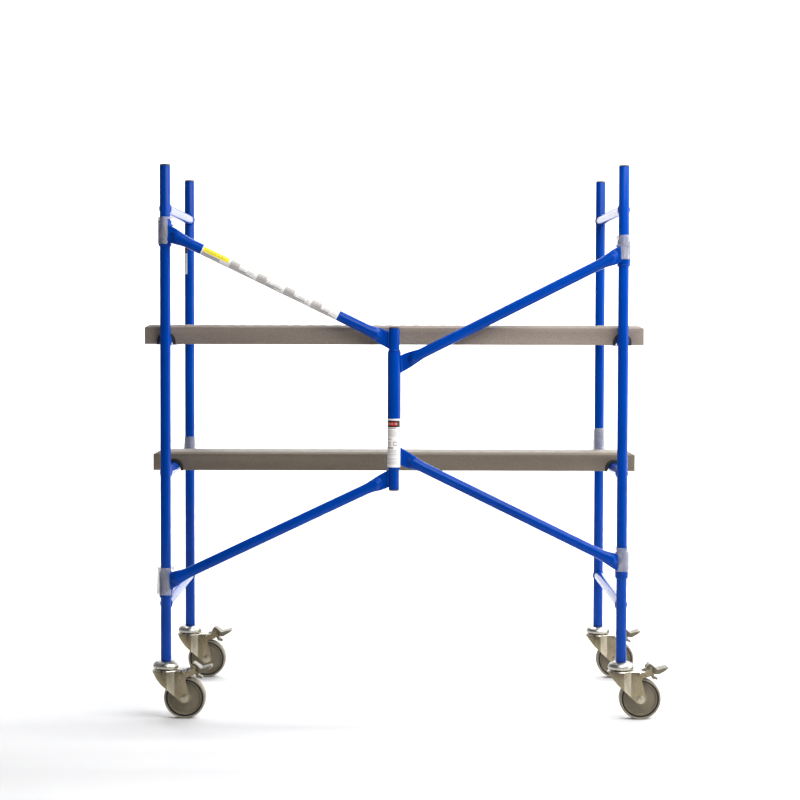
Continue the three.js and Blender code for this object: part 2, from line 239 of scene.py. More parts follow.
def prism(pts, lo, hi, round_lo=0.0, round_hi=0.0, axis="z", n=3):
    """Closed outline drawn out between two heights, with rounded rims. axis z: outline in XY; axis y: in XZ; axis x: in YZ."""
    rings = []
    for k in range(n + 1) if round_lo > 0 else [n]:
        a = math.pi / 2 * k / n
        rings.append(
            (
                round_lo * (1 - math.sin(a)) if round_lo > 0 else 0,
                lo + round_lo * (1 - math.cos(a)) if round_lo > 0 else lo,
            )
        )
    for k in range(n + 1) if round_hi > 0 else [0]:
        a = math.pi / 2 * k / n
        rings.append(
            (
                round_hi * (1 - math.cos(a)) if round_hi > 0 else 0,
                hi - round_hi * (1 - math.sin(a)) if round_hi > 0 else hi,
            )
        )
    verts, faces, N = [], [], len(pts)
    for d, h in rings:
        q = offset_outline(pts, d) if d > 1e-9 else np.asarray(pts, float)
        for x, y in q:
            verts.append((x, y, h))
    for j in range(len(rings) - 1):
        for i in range(N):
            k = (i + 1) % N
            faces.append((j * N + i, j * N + k, (j + 1) * N + k, (j + 1) * N + i))
    faces.append(tuple(range(N)))
    faces.append(tuple(range((len(rings) - 1) * N, len(rings) * N)))
    v = np.array(verts)
    if axis == "y":
        v = v[:, [0, 2, 1]]
    elif axis == "x":
        v = v[:, [2, 0, 1]]
    return Shape().add(v, faces)


def disc(cx, cy, r, n=32):
    return [
        (cx + r * math.cos(2 * math.pi * i / n), cy + r * math.sin(2 * math.pi * i / n))
        for i in range(n)
    ]


def sweep(path, radius, around=12, closed=False, squash=1.0):
    """Round rod along a path. radius is a number or one per point."""
    P = np.asarray(path, float)
    N = len(P)
    rad = np.full(N, radius) if np.isscalar(radius) else np.asarray(radius, float)
    if closed:
        T = np.roll(P, -1, 0) - np.roll(P, 1, 0)
    else:
        T = np.gradient(P, axis=0)
    T /= np.linalg.norm(T, axis=1, keepdims=True)
    up = np.array([0.0, 0, 1]) if abs(T[0][2]) < 0.9 else np.array([1.0, 0, 0])
    u = np.cross(T[0], up)
    u /= np.linalg.norm(u)
    verts = []
    for i in range(N):
        u = u - T[i] * (u @ T[i])
        u /= np.linalg.norm(u)
        w = np.cross(T[i], u)
        for k in range(around):
            a = 2 * math.pi * k / around
            verts.append(P[i] + rad[i] * (u * math.cos(a) + w * math.sin(a) * squash))
    faces = []
    for j in range(N if closed else N - 1):
        for k in range(around):
            a, b = j * around + k, j * around + (k + 1) % around
            c, d = ((j + 1) % N) * around + k, ((j + 1) % N) * around + (k + 1) % around
            faces.append((a, b, d, c))
    if not closed:
        faces.append(tuple(range(around)))
        faces.append(tuple(range((N - 1) * around, N * around)))
    return Shape().add(verts, faces)


def wave(x, seed):
    """Smooth repeatable unevenness, about -1 to 1."""
    return noise.noise(Vector((x, seed * 7.31, seed * 1.7)))


def bead(path, radius, seed, pitch=2.6, closed=False):
    """Weld bead: a rod with the overlapping ripples of a hand-laid weld."""
    P = np.asarray(path, float)
    seg = np.linalg.norm(np.diff(P, axis=0), axis=1)
    length = float(seg.sum()) + (np.linalg.norm(P[0] - P[-1]) if closed else 0)
    at = np.concatenate([[0], np.cumsum(seg)])
    if closed:
        P2 = np.vstack([P, P[:1]])
        at2 = np.append(at, length)
    else:
        P2, at2 = P, at
    steps = max(24, int(length / 0.45))
    d = np.linspace(0, length, steps, endpoint=not closed)
    Q = np.stack([np.interp(d, at2, P2[:, k]) for k in range(3)], 1)
    count = max(1, round(length / pitch))
    rad = []
    for x in d:
        phase = (x / length * count) % 1.0
        ripple = 0.10 * (1 - phase) * phase * 4 - 0.05
        slow = 0.09 * wave(x * 0.16, seed) if not closed else 0.07 * math.sin(2 * math.pi * x / length * 3 + seed)
        rad.append(radius * (1 + ripple + slow))
    rad = np.array(rad)
    if not closed:
        edge = np.minimum(d, length - d) / radius
        rad *= np.sqrt(np.clip(1 - (1 - np.clip(edge, 0, 1)) ** 2, 0.02, 1))
    return sweep(Q, rad, around=14, closed=closed)


def temp_object(shape, name="tmp"):
    me = raw_mesh(name, shape, metres=False)
    o = bpy.data.objects.new(name, me)
    bpy.context.scene.collection.objects.link(o)
    return o


def carve(base, cuts, mode="DIFFERENCE"):
    """Base object with each of the shapes taken away, added or kept."""
    for shape in cuts:
        other = temp_object(shape, "cut")
        mod = base.modifiers.new("b", "BOOLEAN")
        mod.operation, mod.object, mod.solver = mode, other, "EXACT"
        dg = bpy.context.evaluated_depsgraph_get()
        me = bpy.data.meshes.new_from_object(base.evaluated_get(dg))
        base.modifiers.clear()
        base.data = me
        bpy.data.objects.remove(other)
    return base


def bevelled(base, width, segments=2, angle=35):
    mod = base.modifiers.new("v", "BEVEL")
    mod.width, mod.segments = width, segments
    mod.limit_method, mod.angle_limit = "ANGLE", math.radians(angle)
    mod.use_clamp_overlap = True
    mod.harden_normals = False
    mod.miter_outer = "MITER_ARC"
    dg = bpy.context.evaluated_depsgraph_get()
    me = bpy.data.meshes.new_from_object(base.evaluated_get(dg))
    base.modifiers.clear()
    base.data = me
    return base


def to_shape(o):
    me = o.data
    v = np.zeros(len(me.vertices) * 3)
    me.vertices.foreach_get("co", v)
    s = Shape().add(v.reshape(-1, 3), [tuple(p.vertices) for p in me.polygons])
    bpy.data.objects.remove(o)
    return s


# ---- materials -------------------------------------------------------------
class Mat:
    """A Principled material with small helpers for its node tree."""

    def __init__(self, name, **sockets):
        self.mat = bpy.data.materials.new(name)
        self.mat.use_nodes = True
        self.nt = self.mat.node_tree
        self.p = self.nt.nodes["Principled BSDF"] if "Principled BSDF" in self.nt.nodes else None
        if self.p is None:
            self.nt.nodes.clear()
            self.p = self.nt.nodes.new("ShaderNodeBsdfPrincipled")
            out = self.nt.nodes.new("ShaderNodeOutputMaterial")
            self.nt.links.new(self.p.outputs[0], out.inputs[0])
        for k, v in sockets.items():
            self.p.inputs[k.replace("_", " ")].default_value = v
        self.coord = self.nt.nodes.new("ShaderNodeTexCoord").outputs["Object"]

    def link(self, a, b):
        self.nt.links.new(a, b)
        return self

    def scaled(self, scale):
        n = self.nt.nodes.new("ShaderNodeMapping")
        n.inputs["Scale"].default_value = scale if hasattr(scale, "__len__") else (scale,) * 3
        self.link(self.coord, n.inputs["Vector"])
        return n.outputs[0]

    def noise(self, scale, detail=3.0, rough=0.55, stretch=(1, 1, 1), distort=0.0):
        n = self.nt.nodes.new("ShaderNodeTexNoise")
        n.inputs["Scale"].default_value = scale
        n.inputs["Detail"].default_value = detail
        n.inputs["Roughness"].default_value = rough
        n.inputs["Distortion"].default_value = distort
        self.link(self.scaled(stretch), n.inputs["Vector"])
        return n.outputs["Fac"]

    def voronoi(self, scale, feature="F1"):
        n = self.nt.nodes.new("ShaderNodeTexVoronoi")
        n.feature = feature
        n.inputs["Scale"].default_value = scale
        self.link(self.coord, n.inputs["Vector"])
        return n.outputs["Distance"]

    def ramp(self, fac, stops, smooth=False):
        n = self.nt.nodes.new("ShaderNodeValToRGB")
        n.color_ramp.interpolation = "EASE" if smooth else "LINEAR"
        els = n.color_ramp.elements
        while len(els) < len(stops):
            els.new(0.5)
        for e, (pos, col) in zip(els, stops):
            e.position = pos
            e.color = (*col, 1) if hasattr(col, "__len__") else (col, col, col, 1)
        self.link(fac, n.inputs["Fac"])
        return n.outputs["Color"]

    def mix(self, fac, a, b, blend="MIX"):
        n = self.nt.nodes.new("ShaderNodeMix")
        n.data_type, n.blend_type = "RGBA", blend
        for sock, val in ((n.inputs[0], fac), (n.inputs[6], a), (n.inputs[7], b)):
            if isinstance(val, bpy.types.NodeSocket):
                self.link(val, sock)
            elif hasattr(val, "__len__"):
                sock.default_value = (*val, 1)
            else:
                sock.default_value = val if sock == n.inputs[0] else (val, val, val, 1)
        return n.outputs[2]

    def math(self, op, a, b=0.0):
        n = self.nt.nodes.new("ShaderNodeMath")
        n.operation = op
        for sock, val in ((n.inputs[0], a), (n.inputs[1], b)):
            if isinstance(val, bpy.types.NodeSocket):
                self.link(val, sock)
            else:
                sock.default_value = val
        return n.outputs[0]

    def maprange(self, v, a, b, c, d):
        n = self.nt.nodes.new("ShaderNodeMapRange")
        self.link(v, n.inputs["Value"])
        for k, x in zip(("From Min", "From Max", "To Min", "To Max"), (a, b, c, d)):
            n.inputs[k].default_value = x
        return n.outputs[0]

    def bump(self, height, strength, distance, normal=None):
        n = self.nt.nodes.new("ShaderNodeBump")
        n.inputs["Strength"].default_value = strength
        n.inputs["Distance"].default_value = distance
        self.link(height, n.inputs["Height"])
        if normal is not None:
            self.link(normal, n.inputs["Normal"])
        return n.outputs[0]

    def base(self, v):
        return self.link(v, self.p.inputs["Base Color"])

    def rough(self, v):
        return self.link(v, self.p.inputs["Roughness"])

    def normal(self, v):
        return self.link(v, self.p.inputs["Normal"])


def powder_blue(name="blue_powder_coat", base=(0.0002, 0.046, 0.325)):
    m = Mat(name, Metallic=0.0, IOR=1.5)
    m.p.inputs["Coat Weight"].default_value = 0.03
    m.p.inputs["Specular IOR Level"].default_value = 0.11
    m.p.inputs["Coat Roughness"].default_value = 0.05
    big = m.noise(7.0, 3, 0.6)
    fine = m.noise(330.0, 2, 0.5)
    c = m.mix(m.ramp(big, [(0.3, 0.0), (0.7, 1.0)]), tuple(x * 0.88 for x in base), tuple(min(1, x * 1.1) for x in base))
    # faint rub marks, where handling has dulled and lightened the coat
    rub = m.noise(60.0, 6, 0.7, stretch=(1, 1, 0.35), distort=0.6)
    mask = m.ramp(rub, [(0.64, 0.0), (0.74, 0.35)])
    c = m.mix(mask, c, (0.004, 0.070, 0.38))
    m.base(c)
    r = m.maprange(fine, 0.3, 0.7, 0.14, 0.19)
    m.rough(m.mix(mask, m.mix(1.0, (0, 0, 0), r, "ADD"), (0.42, 0.42, 0.42)))
    peel = m.noise(620.0, 2, 0.5)
    m.normal(m.bump(peel, 0.18, 0.00035))
    return m.mat


def deck_grey(name, base):
    m = Mat(name, Metallic=0.0, IOR=1.5)
    big = m.noise(5.0, 4, 0.6)
    speck = m.noise(430.0, 3, 0.75)
    c = m.mix(m.ramp(big, [(0.3, 0.0), (0.7, 1.0)]), tuple(x * 0.92 for x in base), tuple(x * 1.06 for x in base))
    c = m.mix(m.ramp(speck, [(0.38, 0.75), (0.50, 0.0)]), c, tuple(x * 0.66 for x in base))
    c = m.mix(m.ramp(speck, [(0.54, 0.0), (0.66, 0.6)]), c, tuple(min(1, x * 1.34) for x in base))
    scuff = m.noise(38.0, 7, 0.72, stretch=(0.25, 1, 1), distort=0.4)
    mask = m.ramp(scuff, [(0.62, 0.0), (0.72, 0.4)])
    c = m.mix(mask, c, tuple(min(1, x * 1.3) for x in base))
    m.base(c)
    m.rough(m.maprange(m.noise(240.0, 3), 0.3, 0.7, 0.40, 0.54))
    m.normal(m.bump(m.noise(1100.0, 2, 0.6), 0.30, 0.0005))
    return m.mat


def zinc(name="zinc_plate", base=(0.42, 0.37, 0.28), rough=(0.28, 0.42), tint=(0.32, 0.27, 0.185)):
    m = Mat(name, Metallic=1.0)
    cloud = m.noise(26.0, 4, 0.6)
    fine = m.noise(300.0, 4, 0.65)
    c = m.mix(m.ramp(cloud, [(0.32, 0.0), (0.68, 1.0)]), base, tint)
    c = m.mix(m.ramp(fine, [(0.35, 0.35), (0.6, 0.0)]), c, tuple(x * 0.72 for x in base))
    m.base(c)
    drawn = m.noise(90.0, 4, 0.6, stretch=(1, 1, 0.12))
    m.rough(m.maprange(drawn, 0.3, 0.7, *rough))
    m.normal(m.bump(m.noise(420.0, 3, 0.6), 0.16, 0.0004))
    return m.mat


def zinc_with_painted_highlights(name, base, tint):
    """Zinc on a pressing, with painted highlights: the crease facets turned to the right and the rolled top edge are
    painted brighter than the flats, standing in for the light they catch.
    """
    m = Mat(name, Metallic=1.0)
    nrm = m.nt.nodes.new("ShaderNodeSeparateXYZ")
    tc = next(n for n in m.nt.nodes if n.type == "TEX_COORD")
    m.link(tc.outputs["Normal"], nrm.inputs[0])
    nx, nz = nrm.outputs[0], nrm.outputs[2]
    cloud = m.noise(26.0, 4, 0.6)
    fine = m.noise(300.0, 4, 0.65)
    c = m.mix(m.ramp(cloud, [(0.32, 0.0), (0.68, 1.0)]), base, tint)
    c = m.mix(m.ramp(fine, [(0.35, 0.35), (0.6, 0.0)]), c, tuple(x * 0.72 for x in base))
    # painted highlight: faces turned to the right (by the crease) and the rounded top edge are mixed towards a pale
    # colour, standing in for the light they catch
    facet_highlight_mask = m.ramp(nx, [(0.30, 0.0), (0.44, 0.42), (0.62, 0.42), (0.76, 0.0)])
    rim_highlight_mask = m.ramp(nz, [(0.16, 0.0), (0.40, 0.9), (0.86, 0.9), (0.97, 0.25)])
    highlight_colour = (0.74, 0.70, 0.60)
    c = m.mix(facet_highlight_mask, c, highlight_colour)
    c = m.mix(rim_highlight_mask, c, highlight_colour)
    m.base(c)
    drawn = m.noise(90.0, 4, 0.6, stretch=(1, 1, 0.12))
    m.rough(m.maprange(drawn, 0.3, 0.7, 0.22, 0.34))
    m.normal(m.bump(m.noise(420.0, 3, 0.6), 0.16, 0.0004))
    return m.mat


def rubber_grey():
    m = Mat("grey_tread_rubber", Metallic=0.0, IOR=1.5)
    m.p.inputs["Specular IOR Level"].default_value = 0.35
    c = m.mix(m.ramp(m.noise(30.0, 5, 0.65), [(0.3, 0.0), (0.7, 1.0)]), (0.245, 0.210, 0.155), (0.325, 0.28, 0.215))
    c = m.mix(m.ramp(m.noise(900.0, 2), [(0.55, 0.0), (0.7, 0.4)]), c, (0.22, 0.20, 0.17))
    m.base(c)
    m.rough(m.maprange(m.noise(180.0, 3), 0.3, 0.7, 0.52, 0.70))
    m.normal(m.bump(m.noise(520.0, 3), 0.25, 0.0005))
    return m.mat


def wheel_plastic():
    m = Mat("wheel_core_plastic", Metallic=0.0, IOR=1.5)
    m.p.inputs["Specular IOR Level"].default_value = 0.28
    c = m.mix(m.ramp(m.noise(22.0, 4, 0.6), [(0.3, 0.0), (0.7, 1.0)]), (0.172, 0.144, 0.094), (0.215, 0.185, 0.130))
    c = m.mix(m.ramp(m.noise(700.0, 2), [(0.56, 0.0), (0.72, 0.35)]), c, (0.16, 0.145, 0.12))
    m.base(c)
    m.rough(m.maprange(m.noise(150.0, 3), 0.3, 0.7, 0.36, 0.50))
    m.normal(m.bump(m.noise(800.0, 2), 0.22, 0.0003))
    return m.mat


def black(name="black_plastic", base=0.014, rough=(0.42, 0.58), grain=900.0):
    m = Mat(name, Metallic=0.0, IOR=1.5)
    c = m.mix(m.ramp(m.noise(45.0, 4, 0.6), [(0.3, 0.0), (0.7, 1.0)]), (base,) * 3, (base * 1.9,) * 3)
    m.base(c)
    m.rough(m.maprange(m.noise(260.0, 3), 0.3, 0.7, *rough))
    m.normal(m.bump(m.noise(grain, 2), 0.3, 0.0004))
    return m.mat


def paper(name, base, dark=0.86):
    m = Mat(name, Metallic=0.0, IOR=1.45)
    c = m.mix(m.ramp(m.noise(60.0, 4, 0.6), [(0.3, 0.0), (0.7, 1.0)]), tuple(x * dark for x in base), base)
    m.base(c)
    m.rough(m.maprange(m.noise(200.0, 3), 0.3, 0.7, 0.26, 0.36))
    m.normal(m.bump(m.noise(140.0, 3), 0.10, 0.0004))
    return m.mat


def film():
    m = Mat("clear_film", Metallic=0.0, IOR=1.45, Alpha=0.30)
    c = m.mix(m.ramp(m.noise(55.0, 5, 0.65), [(0.35, 0.0), (0.7, 1.0)]), (0.36, 0.35, 0.33), (0.78, 0.75, 0.69))
    m.base(c)
    m.rough(m.maprange(m.noise(160.0, 4), 0.3, 0.7, 0.16, 0.40))
    m.normal(m.bump(m.noise(120.0, 4, 0.6, stretch=(1, 1, 0.3)), 0.5, 0.0012))
    return m.mat


BLUE = powder_blue()
# painted shade: the lower plank gets a darker, warmer copy of the same deck grey, standing in for the lower plank
# getting less light; both planks are the same grey
GREY = {"upper": deck_grey("deck_grey_coat", (0.256, 0.207, 0.171)), "lower": deck_grey("deck_grey_coat_painted_shade", (0.170, 0.136, 0.096))}
FORK = zinc_with_painted_highlights("zinc_pressed_fork", (0.33, 0.283, 0.190), (0.25, 0.202, 0.122))
PEDAL_ZINC = zinc("zinc_pedal", (0.215, 0.195, 0.140), (0.30, 0.44), (0.155, 0.138, 0.092))
CUP = zinc("zinc_bearing_cup", (0.58, 0.57, 0.52), (0.30, 0.40), (0.47, 0.46, 0.40))
BOLT = zinc("zinc_bolt", (0.56, 0.51, 0.40), (0.34, 0.46), (0.44, 0.38, 0.28))
YELLOW_ZINC = zinc("yellow_zinc_spring", (0.62, 0.43, 0.20), (0.24, 0.40), (0.48, 0.30, 0.12))
TREAD = rubber_grey()
CORE = wheel_plastic()
BLACK = black()
LINER = black("black_liner_rubber", 0.008, (0.50, 0.66), 600.0)
SEAM = black("black_wheel_ring", 0.003, (0.55, 0.7), 800.0)
FILM = film()
L_WHITE = paper("label_white", (0.93, 0.90, 0.87), 0.96)
L_YELLOW = paper("label_yellow", (0.90, 0.76, 0.004), 0.95)
L_GREY = paper("label_grey", (0.26, 0.235, 0.215))
L_PALE = paper("label_pale_grey", (0.42, 0.40, 0.38))
L_BLACK = paper("label_black", (0.02, 0.02, 0.022), 0.6)
L_RED = paper("label_red", (0.50, 0.03, 0.02))
L_OCHRE = paper("label_ochre", (0.50, 0.36, 0.05))
LABEL = [L_WHITE, L_YELLOW, L_GREY, L_PALE, L_BLACK, L_RED, L_OCHRE]

# ---- end frames ------------------------------------------------------------
SLEEVES = {
    (s, l): zrange(f"gate_{s}_{l}_sleeve") for s in ("left", "right") for l in ("upper", "lower")
}


def post_shape(collars, seed):
    """Tube with the stop collars welded under the hinge sleeves."""
    pts = [(TUBE_IN, POST_BOTTOM), (TUBE_R, POST_BOTTOM)]
    pts.append((TUBE_R, POST_TOP - CAP_SKIRT))
    pts.append((TUBE_IN, POST_TOP - CAP_SKIRT))
    s = lathe(soften(pts, [0.3, 0.6, 0.7, 0.4], 3, closed=True), 64, closed=True)
    for i, top in enumerate(collars):
        prof = soften(
            [(TUBE_R - 0.6, top - 6.6), (14.2, top - 5.8), (15.8, top - 3.6), (15.95, top - 0.2), (TUBE_R - 0.6, top)],
            0.9,
            3,
            closed=True,
        )
        k = seed + i

        def lumps(a, j, k=k):
            return 0.16 * math.sin(17 * a + k) + 0.12 * math.sin(7 * a + 2 * k) - 0.15 if j < len(prof) * 0.55 else 0

        s.join(lathe(prof, 96, closed=True, wobble=lumps))
    return s


def rung_shape(z, seed, collars):
    """Rung tube coped on to both posts, with a hand-laid weld round each end."""
    s = Shape()
    around, verts, faces = 48, [], []
    for r, back in ((TUBE_R, 0), (TUBE_IN, 1)):
        for t in (0, 0.02, 0.06, 0.5, 0.94, 0.98, 1):
            for i in range(around):
                a = 2 * math.pi * i / around
                x, zz = r * math.cos(a), r * math.sin(a)
                end = math.sqrt(max(0.0, (TUBE_R + 0.1) ** 2 - x * x))
                verts.append((x, end + (DEPTH - 2 * end) * t, z + zz))
    n = 7
    for shell in (0, 1):
        b = shell * n * around
        for j in range(n - 1):
            for i in range(around):
                k = (i + 1) % around
                q = (b + j * around + i, b + j * around + k, b + (j + 1) * around + k, b + (j + 1) * around + i)
                faces.append(q if shell == 0 else q[::-1])
    for j in (0, n - 1):
        for i in range(around):
            k = (i + 1) % around
            faces.append((j * around + i, j * around + k, n * around + j * around + k, n * around + j * around + i))
    s.add(verts, faces)
    for end, sgn in ((0, 1), (DEPTH, -1)):
        path = []
        for i in range(96):
            a = 2 * math.pi * i / 96
            x, zz = 12.5 * math.cos(a), 14.6 * math.sin(a)
            y = math.sqrt(max(0.0, 13.9**2 - x * x))
            path.append((x, end + sgn * y, z + zz))
        path = np.array(path)
        if sgn > 0:  # leave room where a hinge sleeve comes close
            for top in collars:
                near = (path[:, 2] > top - 4) & (path[:, 2] < top + 22) & (abs(top - z) < 40)
                path[near, 1] = np.maximum(path[near, 1], 18.6)
        s.join(bead(path, 2.7, seed + (7 if sgn < 0 else 0), 3.0, closed=True))
    return s


def cap_shape(top, up=1):
    """Push-in cap: a shallow domed button over the tube's end, with its plug inside."""
    prof = [(0, -17), (9.6, -17), (10.5, -15), (10.5, -CAP_SKIRT + 0.1), (12.6, -CAP_SKIRT + 0.1), (12.6, 0.9), (11.2, 2.5), (6, 2.65), (0, 2.7)]
    prof = soften(prof, [0, 1, 1, 0.2, 0.4, 1.4, 1.6, 2, 0], 4)
    return lathe([(r, top + up * h) for r, h in prof], 48)


for side, sx in (("left", -1), ("right", 1)):
    body = f"{side}_end_frame"
    X = sx * SPAN / 2
    collars = [SLEEVES[(side, "upper")][0] - GAP, SLEEVES[(side, "lower")][0] - GAP]
    make(f"{side}_front_post_tube", post_shape(collars, 3 + sx).moved(X), BLUE, body, f"{side}_front_post")
    make(f"{side}_rear_post_tube", post_shape([], 5).moved(X, DEPTH), BLUE, body, f"{side}_rear_post")
    for i, z in enumerate(RUNGS):
        make(f"{side}_rung_{i + 1}_tube", rung_shape(z, 11 * i + sx, collars).moved(X), BLUE, body, f"{side}_rung_{i + 1}")
    for end, y in (("front", 0), ("rear", DEPTH)):
        make(f"{side}_{end}_post_button", cap_shape(POST_TOP).moved(X, y), BLACK, body, f"{side}_{end}_post_cap")

# ---- gate ------------------------------------------------------------------
FAN_H, FAN_W, FAN_L = 21.0, 2.6, 62.0
LAP_Y = -(SLEEVE_R + GAP + FAN_W)
BRACES = {
    "left_upper": ((-545, LAP_Y, 1172), (-13.1, 0, 915.5)),
    "left_lower": ((-546.5, LAP_Y, 330), (-13.1, 0, 581.3)),
    "right_upper": ((16.3, 0, 858), (545, LAP_Y, 1125)),
    "right_lower": ((16.3, 0, 635), (549.5, LAP_Y, 376)),
}


def ease(v):
    v = np.clip(v, 0, 1)
    return v * v * (3 - 2 * v)


def brace_shape(p0, p1, lap0, lap1, around=56):
    """Tube whose ends are pressed flat and upright. The round part runs out in a nose short of the flat."""
    (x0, y0, z0), (x1, y1, z1) = p0, p1
    L = math.dist(p0, p1)
    flat = math.hypot(x1 - x0, z1 - z0)
    ux, uz = (x1 - x0) / flat, (z1 - z0) / flat
    near = list(np.linspace(0, 30, 41)) + list(np.linspace(30, 66, 25))[1:] + list(np.linspace(66, 120, 10))[1:]
    stations = [d / L for d in near] + list(np.linspace(near[-1] / L, 1 - near[-1] / L, 9))[1:-1] + [1 - d / L for d in reversed(near)]
    angles = np.arange(around) * 2 * math.pi / around
    rings = []
    for wall in (0.0, 1.2):
        rows = []
        for t in stations:
            d = min(t, 1 - t) * L
            lap = lap0 if t < 0.5 else lap1
            k = float(ease(np.array(1 - d / FAN_L)))
            cx, cy, cz = x0 + (x1 - x0) * t, y0 + (y1 - y0) * t, z0 + (z1 - z0) * t
            vx, vz = -uz * (1 - k), ux * (1 - k) + k
            n = math.hypot(vx, vz)
            vx, vz = vx / n, vz / n
            h = TUBE_R + (FAN_H - TUBE_R) * k - wall
            e = h * np.cos(angles)
            s = np.sin(angles)
            # flat: an even slab with rounded edges
            flat_w = (FAN_W - wall) * np.clip(1 - np.abs(np.cos(angles)) ** 8, 0, 1) ** 0.5
            bulge = (TUBE_R - wall) * np.sqrt(np.clip(1 - (e / h) ** 2, 0, 1))
            start = lap + 26 * (np.abs(e) / FAN_H) ** 2
            g = ease((d - start) / 15.0)
            w = flat_w + (np.maximum(bulge, flat_w) - flat_w) * g if d < 75 else bulge
            if d > 62:
                w = flat_w + (bulge - flat_w) * max(float(g.min()), float(ease(np.array((d - 48) / 26.0))))
            y = cy + np.sign(np.round(s, 9)) * w
            rows.append(np.stack([cx + vx * e, y, cz + vz * e], 1))
        rings.extend(rows if wall == 0 else rows[::-1])
    R = len(rings)
    v = np.concatenate(rings)
    faces = []
    for j in range(R):
        for i in range(around):
            a, b = j * around + i, j * around + (i + 1) % around
            c, d2 = ((j + 1) % R) * around + i, ((j + 1) % R) * around + (i + 1) % around
            faces.append((a, b, d2, c))
    return Shape().add(v, faces)


def butt_weld(x, z, sgn, seed, half=19.5, r_tube=TUBE_R):
    """Ripple welds down both faces where a flat end meets a tube from the side."""
    s = Shape()
    for face in (-1, 1):
        path = [(x, face * 2.2, z + v) for v in np.linspace(-half - 1.5, half + 1.5, 60)]
        s.join(bead(path, 3.3, seed + face, 2.7))
    return s


def lap_weld(x, z, sgn, seed):
    """Fillet welds where a flat end lies on the front of a sleeve: down its edge, and along top and bottom."""
    s = Shape()
    path = [(x + sgn * 0.4, -SLEEVE_R - 0.2, z + v) for v in np.linspace(-19.5, 19.5, 60)]
    s.join(bead(path, 2.0, seed, 2.5))
    for up in (-1, 1):
        pts = []
        for t in np.linspace(0, 1, 24):
            dx = t * 15.0
            px = x - sgn * dx
            off = (px - (sgn * SPAN / 2)) if True else 0
            py = -math.sqrt(max(9.0, (SLEEVE_R + 0.4) ** 2 - off * off)) if abs(off) < SLEEVE_R else -5
            pts.append((px, py, z + up * (FAN_H - 1.2 - 3.0 * t)))
        s.join(bead(pts, 1.9, seed + up + 5, 2.5))
    return s


def sleeve_shape(r_in, r_out, z0, z1):
    return lathe(soften([(r_in, z0), (r_out, z0), (r_out, z1), (r_in, z1)], [0.3, 0.7, 0.7, 0.3], 3, closed=True), 72, closed=True)


for side, sx in (("left", -1), ("right", 1)):
    for level in ("upper", "lower"):
        body = f"{side}_gate"
        z0, z1 = SLEEVES[(side, level)]
        make(
            f"gate_{side}_{level}_sleeve_tube",
            sleeve_shape(SLEEVE_IN, SLEEVE_R, z0, z1).moved(sx * SPAN / 2),
            BLUE,
            body,
            f"gate_{side}_{level}_sleeve",
        )
        p0, p1 = BRACES[f"{side}_{level}"]
        outer, inner = (p0, p1) if side == "left" else (p1, p0)
        lap0, lap1 = (9.0, 15.0) if side == "left" else (15.0, 9.0)
        s = brace_shape(p0, p1, lap0, lap1)
        seed = 31 + 5 * sx + (2 if level == "upper" else 0)
        s.join(butt_weld(inner[0] + (0.9 if side == "right" else -0.9), inner[2], -sx, seed))
        s.join(lap_weld(outer[0], outer[2], sx, seed + 3))
        make(f"gate_{side}_{level}_brace_tube", s, BLUE, body, f"gate_{side}_{level}_brace")

PT0, PT1 = zrange("gate_pivot_tube")
PS0, PS1 = zrange("gate_pivot_sleeve")


def pivot_tube():
    z0, z1 = PT0 + CAP_SKIRT, PT1 - CAP_SKIRT
    s = lathe(soften([(TUBE_IN, z0), (TUBE_R, z0), (TUBE_R, z1), (TUBE_IN, z1)], [0.3, 0.6, 0.6, 0.3], 3, closed=True), 64, closed=True)
    for z, up, seed in ((PS1 + 0.4, 1, 2.0), (PS0 - 0.4, -1, 5.0)):
        prof = soften(
            [(TUBE_R - 0.6, z), (15.1, z), (15.25, z + up * 2.6), (13.9, z + up * 4.6), (TUBE_R - 0.6, z + up * 6.2)], 0.9, 3, closed=True
        )

        def lumps(a, j, seed=seed):
            return 0.10 * math.sin(13 * a + seed) + 0.12 * math.sin(6 * a + 2 * seed) - 0.22

        s.join(lathe(prof, 96, closed=True, wobble=lumps))
    return s


make("gate_pivot_inner_tube", pivot_tube(), BLUE, "left_gate", "gate_pivot_tube")
make("gate_pivot_outer_sleeve", sleeve_shape(SLEEVE_IN, SLEEVE_R, PS0, PS1), BLUE, "right_gate", "gate_pivot_sleeve")
make("gate_pivot_top_button", cap_shape(PT1), BLACK, "left_gate", "gate_pivot_top_cap")
make("gate_pivot_bottom_button", cap_shape(PT0, -1), BLACK, "left_gate", "gate_pivot_bottom_cap")

# ---- planks ----------------------------------------------------------------
PLANK_D, BELOW, ABOVE = 125.0, 8.0, 38.5
DLO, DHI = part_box("upper_plank_deck")
PLANK_HALF = (DHI.x - DLO.x) * 500
SADDLE_IN, SADDLE_OUT, NOTCH_R = 14.7, 21.7, 22.4


def notch_outline(r, zc, end, n=24, flare=0.0):
    p = [(r + flare, end)]
    if flare:
        p.append((r, end + 6))
    for i in range(n + 1):
        a = math.pi * i / n
        p.append((r * math.cos(a), zc + r * math.sin(a)))
    if flare:
        p.append((-r, end + 6))
    p.append((-r - flare, end))
    return p


